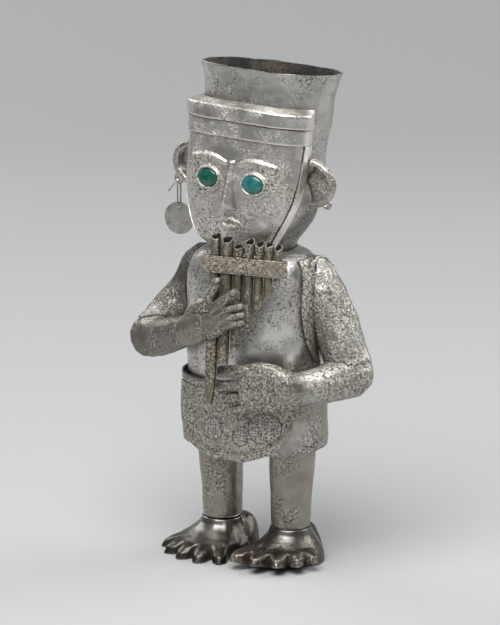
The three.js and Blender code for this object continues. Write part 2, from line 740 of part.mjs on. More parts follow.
// What the arms and hands must clear
const bodyEnvelope = loft([40, 52, 62, 74, 80.5, 81, 88, 102, 114, 120, 125, 128.5, 131, 132.8, 134, 136].map((z) => {
  const offset = z < 80.8 ? 3.6 + 0.9 * (1 - smooth(50, 60, z)) : GAP;
  return steps(36, false).map((s) => torsoForm.point(s * 360, z, offset));
}));
const strapClearance = strapSheet(GAP, -0.5, STRAP_LIFT + SHEET + GAP);

// Panpipe, built upright in its own frame and then leaned and turned with its group
const panpipe = new THREE.Group();
panpipe.position.set(...PIPES_AT);
panpipe.rotation.set(PIPES_LEAN * DEG, 0, PIPES_TURN * DEG, 'ZXY');
panpipe.updateMatrix();
figure.add(panpipe);
const pipeX = PIPE_RADII.map((_, i) => {
  let x = 0;
  for (let k = 1; k <= i; k += 1) x += PIPE_RADII[k - 1] + PIPE_RADII[k] + PIPE_PITCH_GAP;
  return x;
});
const circle = (x, radius, z, sides = 10) => Array.from({ length: sides }, (_, i) => {
  const angle = (i / sides) * 2 * Math.PI;
  return new THREE.Vector3(x + radius * Math.cos(angle), radius * Math.sin(angle), z);
});
const PIPE_TAPER = 0.9;
function pipe(i) {
  const [x, radius, top, end] = [pipeX[i], PIPE_RADII[i], PIPE_TOPS[i], PIPE_ENDS[i]];
  return loft([
    circle(x, radius * PIPE_TAPER - 0.3, end), circle(x, radius * PIPE_TAPER, end + 0.6),
    circle(x, radius, top), circle(x, radius - PIPE_WALL, top),
    circle(x, radius * PIPE_TAPER - PIPE_WALL, end + PIPE_PLUG),
  ]);
}

// The longest pipe is a rolled strip with an open seam, which flattens out towards its point
function rolledPipe() {
  const [radius, end] = [PIPE_RADII[0], PIPE_ENDS[0]];
  const open = 16;
  const arc = (r) => steps(11).map((s) => {
    const angle = (-20 + open + s * (360 - 2 * open)) * DEG;
    return [r * Math.cos(angle), r * Math.sin(angle)];
  });
  const outline = [...arc(radius), ...arc(radius - PIPE_WALL).reverse()];
  const wide = spline([[end, 0.5], [end + 8, 1.15], [end + 22, 1.25], [-26, 1.02], [0, 1]]);
  const deep = spline([[end, 0.45], [end + 10, 0.55], [end + 24, 0.65], [-26, 0.98], [0, 1]]);
  const rings = [end, end + 2, end + 8, end + 22, -32, -24, 0].map((z) => {
    return outline.map(([x, y]) => new THREE.Vector3(x * wide(z), y * deep(z), z));
  });
  return loft(rings, { outline: outline.map((p) => new THREE.Vector2(...p)) });
}
add('pipe_1', rolledPipe(), TARNISH, panpipe);
for (let i = 1; i < PIPE_RADII.length; i += 1) add(`pipe_${i + 1}`, pipe(i), TARNISH, panpipe);

// Binding strip round the row: the taut outline of the pipes, a gap outside them
const tautOutline = (grow) => steps(32, false).map((s) => {
  const angle = s * 2 * Math.PI;
  const [c, d] = [Math.cos(angle), Math.sin(angle)];
  const tail = [pipeX.at(-1) + BINDING_TAIL, PIPE_RADII.at(-1)];
  const ends = [[-BINDING_OVERHANG, PIPE_RADII[0] - 0.5], ...pipeX.map((x, i) => [x, PIPE_RADII[i]]), tail];
  const reach = ends.map(([x, r]) => x * c + r);
  const [x, r] = ends[reach.indexOf(Math.max(...reach))];
  return [x + (r + grow) * c, (r + grow) * d];
});
const innerLine = tautOutline(GAP);
const outerLine = tautOutline(GAP + BINDING_SHEET);
const bindingRings = innerLine.map(([x, y], i) => {
  const [u, v] = outerLine[i];
  const [low, high] = [BINDING_TOP - BINDING_HEIGHT, BINDING_TOP];
  return [[x, y, low], [u, v, low], [u, v, high], [x, y, high]].map(vec);
});
add('pipe_binding', loft(bindingRings, { loop: true }), TARNISH, panpipe);

// Room that the hands leave for the pipes and the binding
const pipeRoom = PIPE_RADII.map((radius, i) => {
  const reach = radius * (i === 0 ? 1.25 : 1) + GAP;
  const column = [PIPE_ENDS[i] - 1, 1].map((z) => circle(pipeX[i], reach, z));
  return turned(loft(column), panpipe.matrix);
});
const roomLine = tautOutline(2 * GAP + BINDING_SHEET);
const bindingRoom = turned(loft([BINDING_TOP - BINDING_HEIGHT - GAP, BINDING_TOP + GAP].map((z) => {
  return roomLine.map(([x, y]) => new THREE.Vector3(x, y, z));
})), panpipe.matrix);

// Arms: a sleeve and a forearm whose elbow end sits in the sleeve like a ball
const ARM_SIDES = 14;
const UP = [0, 0, 1];
const OUT = [0, 1, 0];
const LEFT = {
  shoulder: [SHOULDER_X, SHOULDER_Y, 123], bicep: [33.7, 2.5, 109.5], elbow: [LEFT_ELBOW_X, -0.5, 84.6],
  wrist: [31.6, -21.2, 81.3], forearm: [39.5, -11.5, 82],
};
const RIGHT = {
  shoulder: [-SHOULDER_X, SHOULDER_Y, 122.5], bicep: [-34, 1.5, 108], elbow: [RIGHT_ELBOW_X, -7.5, 91.6],
  wrist: [-15.2, -30.6, 102.6], forearm: [-32, -19.5, 95.5],
};
const sleeveSize = spline([[0, SLEEVE_RADIUS], [0.5, SLEEVE_RADIUS + 0.1], [1, SLEEVE_RADIUS - 0.2]]);
const ELBOW_RADIUS = 9.4;

function sleeve(arm) {
  const stop = vec(arm.bicep).lerp(vec(arm.elbow), 0.93).toArray();
  const tube = limb({
    path: [arm.shoulder, arm.bicep, stop], up: OUT, sides: ARM_SIDES, count: 4,
    sizes: (t) => [sleeveSize(t), sleeveSize(t)], wall: SHEET, startDome: SLEEVE_RADIUS,
  });
  return cut(tube, bodyEnvelope, elbowRoom(arm));
}

function forearmLimb(arm, grow, wall) {
  const radius = spline([[0, ELBOW_RADIUS], [0.5, arm.swell], [1, arm.wristHeight]]);
  return limb({
    path: [arm.elbow, arm.forearm, arm.wrist], up: UP, sides: ARM_SIDES, count: 5,
    sizes: (t) => [radius(t) + grow, radius(t) * mix(1, 0.85, t) + grow],
    wall, startDome: ELBOW_RADIUS + grow,
  });
}
const elbowRoom = (arm) => forearmLimb(arm, GAP, 0);
Object.assign(LEFT, { swell: 8.2, wristHeight: 6.9 });
Object.assign(RIGHT, { swell: 7.4, wristHeight: 6.3 });

add('sleeve_left', cut(sleeve(LEFT), strapClearance), SILVER);
add('sleeve_right', sleeve(RIGHT), SILVER);
add('forearm_left', cut(forearmLimb(LEFT, 0, SHEET), bodyEnvelope), SILVER);
add('forearm_right', cut(forearmLimb(RIGHT, 0, SHEET), bodyEnvelope), SILVER);

// Hands: a palm and its fingers joined, and cleared for the pipes
function finger(path, high, deep) {
  return limb({
    path, up: UP, sides: 7, count: 3, startDome: deep, endDome: deep,
    sizes: (t) => [high * mix(1, 0.88, t), deep * mix(1, 0.88, t)],
  });
}
function palm(arm, path, high, deep) {
  const end = new THREE.CatmullRomCurve3([arm.elbow, arm.forearm, arm.wrist].map(vec)).getTangentAt(1);
  const start = vec(arm.wrist).addScaledVector(end, GAP).toArray();
  const along = vec(arm.wrist).addScaledVector(end, 5).toArray();
  const [a, b] = [spline(high), spline(deep)];
  return limb({
    path: [start, along, ...path], up: UP, sides: 12, count: 5, endDome: 2.6, sizes: (t) => [a(t), b(t)],
  });
}
const leftPalm = palm(
  LEFT, [[21, -26.8, 81.3], [10.5, -29.2, 80.6]],
  [[0, 6.9], [0.35, 10], [0.65, 11.2], [1, 9.8]], [[0, 5.8], [0.35, 4.4], [1, 2.8]],
);
const leftHand = [
  leftPalm,
  finger([[11, -29.4, 88], [4, -30.2, 87.4], [-0.2, -30.3, 86.8]], 3, 2.3),
  finger([[11, -29.6, 82.3], [4, -30.5, 81.5], [-0.2, -30.5, 80.8]], 2.4, 2.2),
  finger([[13, -29.4, 77.2], [8, -30, 76.5], [3.6, -29.9, 76]], 2.2, 2.1),
  finger([[14, -28.8, 73.2], [10, -29.4, 72], [6.2, -29.2, 71]], 2.2, 2),
];
add('hand_left', cut(join(...leftHand), bodyEnvelope, pipeRoom[0], pipeRoom[1]), WORN_SILVER);

const rightPalm = palm(
  RIGHT, [[-6.5, -35, 108.5], [4.2, -38.6, 111.8]],
  [[0, 6.3], [0.4, 8.4], [0.75, 8.4], [1, 6.6]], [[0, 5.3], [0.4, 4], [1, 2.6]],
);
const rightHand = [
  rightPalm,
  finger([[-4.5, -37, 110], [-0.6, -38.2, 119.5], [3, -38.2, 126.6]], 2.5, 2.3),
  finger([[1, -39, 114.5], [7, -39.8, 119.8], [12, -39.2, 123]], 2.5, 2.3),
  finger([[3, -39.4, 113], [9.5, -39.8, 116.4], [14, -39, 117.9]], 1.75, 2),
  finger([[3, -39.2, 110], [9.5, -39.6, 112.9], [14.2, -38.8, 114.3]], 1.7, 1.9),
  finger([[2, -38.8, 106.8], [9, -39, 109.6], [13.8, -38.4, 110.9]], 1.75, 1.9),
];
const rightPipes = pipeRoom.slice(0, 6);
add('hand_right', cut(join(...rightHand), bodyEnvelope, bindingRoom, ...rightPipes), TARNISH);

// Legs
const legRing = (radius, z, side) => {
  const lean = LEG_SPREAD * smooth(ANKLE_Z, FLOOR_Z, z);
  return circle(side * (LEG_X + lean), radius, z, 18).map((p) => p.setY(p.y + LEG_Y));
};
function leg(side) {
  const heights = [ANKLE_Z + GAP, 22, 34, FLOOR_Z - GAP];
  const radius = spline([[ANKLE_Z, LEG_END_RADIUS], [24, 8.7], [FLOOR_Z, LEG_TOP_RADIUS]]);
  const outer = heights.map((z) => legRing(radius(z), z, side));
  const inner = heights.map((z) => legRing(radius(z) - SHEET, z, side)).reverse();
  return loft([...outer, ...inner], { loop: true });
}
add('leg_left', leg(1), SILVER);
add('leg_right', leg(-1), SILVER);

// Feet: a domed sheet spreading from the ankle, its front edge cut into five toes, and a heel cup.
// They are shaped as left feet, with the big toe on the negative side, and the right one is mirrored.
const TOES = 5;
const TOE_SAMPLES = 6;
const HEEL_SAMPLES = 14;
// Share of the way out from the ankle at which the toes part from the instep
const PARTING = 0.62;
const wrapped = (azimuth) => ((azimuth + 180) % 360 + 360) % 360 - 180;
function footShell({ pitch, inner, outer, lift }) {
  const edge = (TOES * pitch) / 2;
  const side = (reach) => spline([
    [edge, reach - TOE_CLEFT], [90, FOOT_SIDE], [130, FOOT_SIDE], [160, HEEL_REACH - 1], [180, HEEL_REACH],
  ]);
  const [inside, outside] = [side(inner), side(outer)];
  const outline = (azimuth) => {
    const around = wrapped(azimuth);
    if (around > edge) return outside(around);
    if (around < -edge) return inside(-around);
    const s = (around + edge) / pitch;
    const toe = Math.min(Math.floor(s), TOES - 1);
    const across = Math.abs(2 * (s - toe) - 1);
    const reach = mix(inner, outer, toe / (TOES - 1));
    const cleft = mix(inner, outer, s / TOES) - TOE_CLEFT;
    return mix(cleft, reach, Math.max(1 - across ** 1.6, 0) ** 0.6);
  };
  const parting = (azimuth) => {
    const around = wrapped(azimuth);
    const s = clamp((around + edge) / (2 * edge), 0, 1);
    const front = mix(inner, outer, s) - TOE_CLEFT - 0.8;
    const full = mix(LEG_END_RADIUS, outline(azimuth), PARTING);
    return mix(front, full, smooth(edge, edge + 30, Math.abs(around)));
  };
  const reachAt = (azimuth, t) => {
    if (t < PARTING) return mix(LEG_END_RADIUS, parting(azimuth), t / PARTING);
    return mix(parting(azimuth), outline(azimuth), (t - PARTING) / (1 - PARTING));
  };
  const dome = spline([
    [0, 1], [0.07, 0.84], [0.2, 0.7], [0.42, 0.52], [PARTING, 0.4], [0.8, 0.31], [0.93, 0.19],
  ]);
  const cup = spline([[0, 1], [0.07, 0.97], [0.45, 0.93], [0.7, 0.82], [0.9, 0.55], [0.97, 0.3]]);
  const height = (azimuth, t) => {
    if (t === 1) return rimHeight(azimuth);
    const around = Math.abs(wrapped(azimuth));
    const rise = mix(dome(t), cup(t), smooth(100, 150, around)) * ANKLE_Z;
    return rise + rimHeight(azimuth) * smooth(0.3, 0.97, t);
  };
  const rimHeight = (azimuth) => lift * (1 - smooth(edge - 8, edge + 20, Math.abs(wrapped(azimuth))));
  const toes = steps(TOES * TOE_SAMPLES).map((s) => mix(-edge, edge, s));
  const rest = steps(HEEL_SAMPLES).slice(1, -1).map((s) => mix(edge, 360 - edge, s));
  const azimuths = [...toes, ...rest];
  const spot = (azimuth, r, z) => {
    return new THREE.Vector3(r * Math.sin(azimuth * DEG), -r * Math.cos(azimuth * DEG), z);
  };
  const skin = [0, 0.07, 0.2, 0.42, PARTING, 0.8, 0.93, 1].map((t) => azimuths.map((azimuth) => {
    return spot(azimuth, reachAt(azimuth, t), height(azimuth, t));
  }));
  const hollowReach = (azimuth) => {
    const around = wrapped(azimuth);
    if (around > edge) return outside(around) - 1.5;
    if (around < -edge) return inside(-around) - 1.5;
    return mix(inner, outer, (around + edge) / (2 * edge)) - TOE_CLEFT - 1.5 - 0.8 * lift;
  };
  const hollow = [[1, 0], [0.8, 0.4], [0.3, 0.72], [0, 1]].map(([t, k]) => azimuths.map((azimuth) => {
    const high = k === 1 ? ANKLE_Z : Math.min(k * ANKLE_Z, height(azimuth, t * PARTING) - 1.6);
    return spot(azimuth, mix(LEG_END_RADIUS - SHEET, hollowReach(azimuth), t), t === 1 ? 0 : high);
  }));
  return loft([...skin, ...hollow], { loop: true });
}
function foot(name, shape, side) {
  const whole = footShell(shape);
  const parts = {
    foot: cut(whole, box(-40, 40, HEEL_SEAM_Y - GAP, 40, -1, 30)),
    heel: keep(whole, box(-40, 40, HEEL_SEAM_Y, 40, -1, 30)),
  };
  const stance = new THREE.Matrix4().makeRotationZ(shape.splay * DEG).setPosition(LEG_X, LEG_Y, 0);
  for (const [part, geometry] of Object.entries(parts)) {
    const placed = turned(geometry, stance);
    add(`${part}_${name}`, side > 0 ? placed : mirrored(placed), DARK_SILVER);
  }
}
foot('left', LEFT_FOOT, 1);
foot('right', RIGHT_FOOT, -1);

export default figure;
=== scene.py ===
"""Dresses a hammered silver figural beaker: a standing musician who plays a panpipe."""
import logging
import math
from dataclasses import dataclass
from enum import Enum
from functools import reduce

import bmesh
import bpy
import numpy as np
from bmesh.types import BMEdge, BMesh, BMFace, BMVert
from bpy.types import AreaLight, Camera, Material, Mesh, Node, NodeSocket, NodeTree, Object
from mathutils import Euler, Matrix, Vector
from mathutils.bvhtree import BVHTree


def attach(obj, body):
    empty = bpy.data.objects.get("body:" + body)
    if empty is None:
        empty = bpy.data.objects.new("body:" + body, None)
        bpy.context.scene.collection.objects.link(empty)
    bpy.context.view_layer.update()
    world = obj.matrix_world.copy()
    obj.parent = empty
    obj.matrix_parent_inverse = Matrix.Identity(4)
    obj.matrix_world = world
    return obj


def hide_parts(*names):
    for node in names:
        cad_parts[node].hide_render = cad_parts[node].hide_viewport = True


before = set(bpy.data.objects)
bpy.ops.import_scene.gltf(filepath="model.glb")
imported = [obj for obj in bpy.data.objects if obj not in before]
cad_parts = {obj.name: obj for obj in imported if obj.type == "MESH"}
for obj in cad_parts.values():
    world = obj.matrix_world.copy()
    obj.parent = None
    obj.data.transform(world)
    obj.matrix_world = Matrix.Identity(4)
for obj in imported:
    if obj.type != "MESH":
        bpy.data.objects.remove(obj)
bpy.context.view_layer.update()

MM = 0.001
FIGURE = "figure"
PENDANT_LOOP = "pendant_loop"
PENDANT_PLATE = "pendant_plate"
SIDES = ("left", "right")
log = logging.getLogger("silver_musician")

Rows = np.ndarray
Triple = tuple[float, float, float]
Path = tuple[Triple, ...]
Spots = tuple[tuple[float, float, float, float, float], ...]
Inputs = dict[str | int, object]
Sockets = dict[str, tuple[str, ...]]


class Engraving(Enum):
    """What is chased into a sheet."""

    NONE = "none"
    BINDING = "binding"
    STRAP = "strap"
    APRON = "apron"
    HAND = "hand"


@dataclass(frozen=True)
class Metal:
    """A silver finish: its colour, how rough it is and how far corrosion has eaten it.

    Each painted shade spot and each painted highlight spot is a centre and a radius in millimetres and a strength:
    the first darken the colour where shade falls, the second lighten it where a highlight falls.
    """

    name: str
    slot: str
    color: Triple
    roughness: float
    pits: float
    stain: float = 0.4
    engraving: Engraving = Engraving.NONE
    painted_shade_spots: Spots = ()
    painted_highlight_spots: Spots = ()


@dataclass(frozen=True)
class Stone:
    """A polished inlay with clouds and thin veins."""

    name: str
    slot: str
    color: Triple
    cloud: Triple


@dataclass(frozen=True)
class Triangle:
    """A triangle in the plane of X and Z: where its sides start, in millimetres, how steep they are, and how deep
    its marks are."""

    left: float = -8.0
    right: float = 1.4
    base: float = 113.8
    base_slope: float = 0.2
    left_slope: float = 1.05
    right_slope: float = 2.1
    depth: float = 1.6


# Shell: the dark spots are painted shade on the jaw below the ear; the bright spots are painted highlights on the rim
# and down the cup's side on the figure's left.
SHELL = Metal(
    "hammered_silver", "silver", (0.46, 0.45, 0.42), 0.35, 0.54,
    painted_shade_spots=((22, 8, 146, 19, 0.6), (32, 14, 160, 10, 0.35)),
    painted_highlight_spots=((-18, -3.3, 204, 7, 0.9), (31, 12, 203, 6, 0.5), (30, 10, 195, 7, 0.45), (28.6, 10, 185, 8, 0.4),
           (28, 9.5, 175, 8, 0.3)),
)
# The ears' bright spots are painted highlights.
EAR = Metal("ear_silver", "silver", (0.50, 0.48, 0.44), 0.34, 0.6,
            painted_highlight_spots=((33, -3.5, 172.5, 5.5, 1.2), (-32, -3, 172, 5, 0.6)))
FACE = Metal("face_silver", "silver", (0.72, 0.695, 0.65), 0.36, 0.66)
# The chin straps' colour is much lighter than the face's: painted light that makes up for the dark surroundings they
# reflect.
LIT_CHIN_STRAP = Metal("chin_strap_lit_silver", "silver", (0.97, 0.94, 0.88), 0.42, 0.4)
# Bands: the dark spots are painted shade along the front of the upper band's ledge, dimming the highlight it catches.
BAND = Metal(
    "band_silver", "silver", (0.80, 0.77, 0.72), 0.35, 0.6,
    painted_shade_spots=((1, -10.7, 196.2, 7, 0.35), (11, -11.4, 195.8, 7, 0.4), (20, -9.5, 195.2, 7, 0.4),
               (28, -4, 194.3, 5, 0.3)),
)
# The body's dark spots are painted shade.
BODY = Metal("body_silver", "silver", (0.68, 0.67, 0.65), 0.33, 0.48,
             painted_shade_spots=((-14, -8, 126, 15, 0.5), (8, -17, 98, 9, 0.2)))
# The left arm's bright spots are painted highlights on the shoulder and on the top of the forearm.
LEFT_ARM = Metal("left_arm_silver", "silver", (0.41, 0.40, 0.36), 0.37, 0.8, 0.5,
                 painted_highlight_spots=((31, -1, 125, 9, 0.9), (34, -18, 88, 8, 0.6)))
# The right arm's colour is darker than the left arm's: painted shade on the side away from the light. Its dark spots
# are painted shade on the top of the sleeve and on the forearm; its bright spot is a painted highlight on the elbow.
SHADED_RIGHT_ARM = Metal("right_arm_shaded_silver", "silver", (0.215, 0.205, 0.185), 0.47, 0.66, 0.6,
                  painted_shade_spots=((-29, -2, 128, 19, 0.6), (-46, -10, 90, 14, 0.25)),
                  painted_highlight_spots=((-44, -9, 102, 8, 0.8),))
# The skirt's bright spot is a painted highlight.
SKIRT = Metal("skirt_silver", "silver", (0.35, 0.335, 0.305), 0.4, 0.55, 0.6, painted_highlight_spots=((28, -9, 60, 9, 0.5),))
APRON = Metal("apron_silver", "silver", (0.40, 0.38, 0.335), 0.4, 0.88, 0.6, Engraving.APRON)
LEG = Metal("leg_silver", "silver", (0.33, 0.31, 0.27), 0.38, 0.36, 0.8)
STRAP = Metal("strap_silver", "worn_silver", (0.64, 0.59, 0.50), 0.46, 0.8, 0.7, Engraving.STRAP)
LEFT_HAND = Metal("left_hand_silver", "worn_silver", (0.32, 0.305, 0.265), 0.39, 0.9, 0.6)
PENDANT = Metal("pendant_silver", "worn_silver", (0.48, 0.47, 0.45), 0.46, 0.22)
PIPE = Metal("pipe_silver", "tarnished_silver", (0.27, 0.24, 0.18), 0.5, 0.62, 0.7)
BINDING = Metal("binding_silver", "tarnished_silver", (0.44, 0.39, 0.32), 0.48, 0.72, engraving=Engraving.BINDING)
RIGHT_HAND = Metal("right_hand_silver", "tarnished_silver", (0.29, 0.27, 0.22), 0.44, 0.5, 0.7, Engraving.HAND)
# The feet's bright spots are painted highlights on the ankle collars.
FOOT = Metal("foot_silver", "dark_silver", (0.10, 0.092, 0.08), 0.36, 0.08, 0.5,
             painted_highlight_spots=((18, 0, 17, 13, 0.3), (-18, 0, 17, 13, 0.45)))
FLOOR_PLATE = Metal("floor_silver", "dark_silver", (0.48, 0.46, 0.42), 0.5, 0.5)
DARK_EYE = Stone("green_stone", "green_stone", (0.004, 0.065, 0.04), (0.01, 0.13, 0.085))
LIGHT_EYE = Stone("blue_green_stone", "blue_green_stone", (0.012, 0.125, 0.12), (0.03, 0.21, 0.195))

# The chased ornament, in millimetres. A medallion or a nail is its X, its Z and its radius.
APRON_MEDALLIONS = ((-18.4, 63.3, 3.1), (-6.0, 60.4, 4.7), (6.6, 58.0, 3.4), (16.8, 62.6, 6.6))
APRON_BORDERS = (3.4, 4.3)
HAND_TRIANGLE = Triangle()
HAND_NAILS = ((4.1, 127.7, 1.6), (11.9, 123.7, 1.7))


class Graph:
    """A node tree with short ways to place and join nodes."""

    def __init__(self, tree: NodeTree) -> None:
        """Takes a material's tree or a node group to work in."""
        self.tree = tree

    def fill(self, node: Node, inputs: Inputs) -> Node:
        """Sets or links a node's inputs.

        Args:
            node: the node.
            inputs: a number, a colour or a value for each input, by its name or index.

        Returns:
            The node.
        """
        for key, value in inputs.items():
            if isinstance(value, Value):
                self.tree.links.new(value.socket, node.inputs[key])
            else:
                node.inputs[key].default_value = value
        return node

    def node(self, kind: str, inputs: Inputs | None = None, **settings: object) -> Node:
        """Places a node.

        Args:
            kind: the node's type name, which may go without its ShaderNode prefix.
            inputs: what its inputs are set or linked to.
            settings: attributes to set on it.

        Returns:
            The new node.
        """
        made = self.tree.nodes.new(kind if kind.startswith("Node") else "ShaderNode" + kind)
        for key, value in settings.items():
            setattr(made, key, value)
        return self.fill(made, inputs or {})

    def read(self, kind: str, output: str | int, inputs: Inputs | None = None, **settings: object) -> "Value":
        """Places a node and reads one of its outputs, by name or index."""
        return Value(self, self.node(kind, inputs, **settings).outputs[output])

    def math(self, operation: str, a: object, b: object) -> "Value":
        """What a Math node makes of two numbers or values."""
        return self.read("Math", 0, {0: a, 1: b}, operation=operation)

    def mix(self, share: "Value", a: object, b: object) -> "Value":
        """The first colour with a share of the second mixed in."""
        return self.read("Mix", 2, {"Factor": share, 6: a, 7: b}, data_type="RGBA")

    def noise(self, place: "Value", scale: float, detail: float = 3.0, rough: float = 0.55) -> "Value":
        """A noise texture's value, about 0.5 on average, so fine to a metre and with so many finer layers."""
        inputs = {"Vector": place, "Scale": scale, "Detail": detail, "Roughness": rough}
        return self.read("TexNoise", "Fac", inputs)

    def shaken(self, place: "Value", scale: float, reach: float) -> "Value":
        """Coordinates pushed about by a noise of this scale, as far as the reach in metres."""
        push = self.read("TexNoise", "Color", {"Vector": place, "Scale": scale})
        return self.read("VectorMath", 0, {0: push, 1: (reach,) * 3, 2: place}, operation="MULTIPLY_ADD")

    def split(self, vector: "Value") -> list["Value"]:
        """The X, Y and Z of a vector or a colour."""
        return [Value(self, socket) for socket in self.node("SeparateXYZ", {0: vector}).outputs]

    def attribute(self, name: str) -> "Value":
        """An attribute of the piece's points."""
        return self.read("Attribute", "Fac", attribute_name=name)

    def group(self, tree: NodeTree, **inputs: object) -> dict[str, "Value"]:
        """Places a node group and gives its outputs by name."""
        return {socket.name: Value(self, socket) for socket in self.node("Group", inputs, node_tree=tree).outputs}


class Value:
    """What a socket gives. Arithmetic with it places Math nodes."""

    def __init__(self, graph: Graph, socket: NodeSocket) -> None:
        """Takes the socket and the graph that it is in."""
        self.graph = graph
        self.socket = socket

    def __add__(self, other: object) -> "Value":
        """The sum."""
        return self.by("ADD", other)

    def __sub__(self, other: object) -> "Value":
        """The difference."""
        return self.by("SUBTRACT", other)

    def __rsub__(self, other: float) -> "Value":
        """The difference from a number."""
        return self.graph.math("SUBTRACT", other, self)

    def __mul__(self, other: object) -> "Value":
        """The product."""
        return self.by("MULTIPLY", other)

    def __abs__(self) -> "Value":
        """The value without its sign."""
        return self.by("ABSOLUTE")

    def by(self, operation: str, other: object = 0.0) -> "Value":
        """What a Math node's operation makes of it."""
        return self.graph.math(operation, self, other)

    def clamped(self) -> "Value":
        """Keeps what a Math node gives from 0 to 1."""
        self.socket.node.use_clamp = True
        return self

    def step(self, low: object, high: object, start: float = 0.0, end: float = 1.0) -> "Value":
        """A smooth step between low and high, from a start to an end."""
        inputs = {"Value": self, "From Min": low, "From Max": high, "To Min": start, "To Max": end}
        return self.graph.read("MapRange", "Result", inputs, interpolation_type="SMOOTHSTEP")

    def fade(self, low: object, high: object) -> "Value":
        """A smooth step down, from 1 to 0."""
        return self.step(low, high, 1.0, 0.0)


def largest(*values: Value) -> Value:
    """The largest of some values."""
    return reduce(lambda a, b: a.by("MAXIMUM", b), values)


def new_group(name: str, inputs: Sockets, outputs: Sockets) -> tuple[Graph, dict[str, Value], Node]:
    """Starts a shader node group.

    Args:
        name: the group's name.
        inputs: the names of its inputs, by their type.
        outputs: the same for what it gives.

    Returns:
        The group's graph, its inputs by name and its output node.
    """
    tree = bpy.data.node_groups.new(name, "ShaderNodeTree")
    for way, sockets in (("INPUT", inputs), ("OUTPUT", outputs)):
        for kind, labels in sockets.items():
            for label in labels:
                tree.interface.new_socket(label, in_out=way, socket_type="NodeSocket" + kind)
    graph = Graph(tree)
    source = graph.node("NodeGroupInput")
    return graph, {socket.name: Value(graph, socket) for socket in source.outputs}, graph.node("NodeGroupOutput")


def new_material(name: str) -> tuple[Material, Graph, Node]:
    """Starts a material and gives it with its graph and its shader."""
    material = bpy.data.materials.new(name)
    material.use_nodes = True
    return material, Graph(material.node_tree), material.node_tree.nodes["Principled BSDF"]


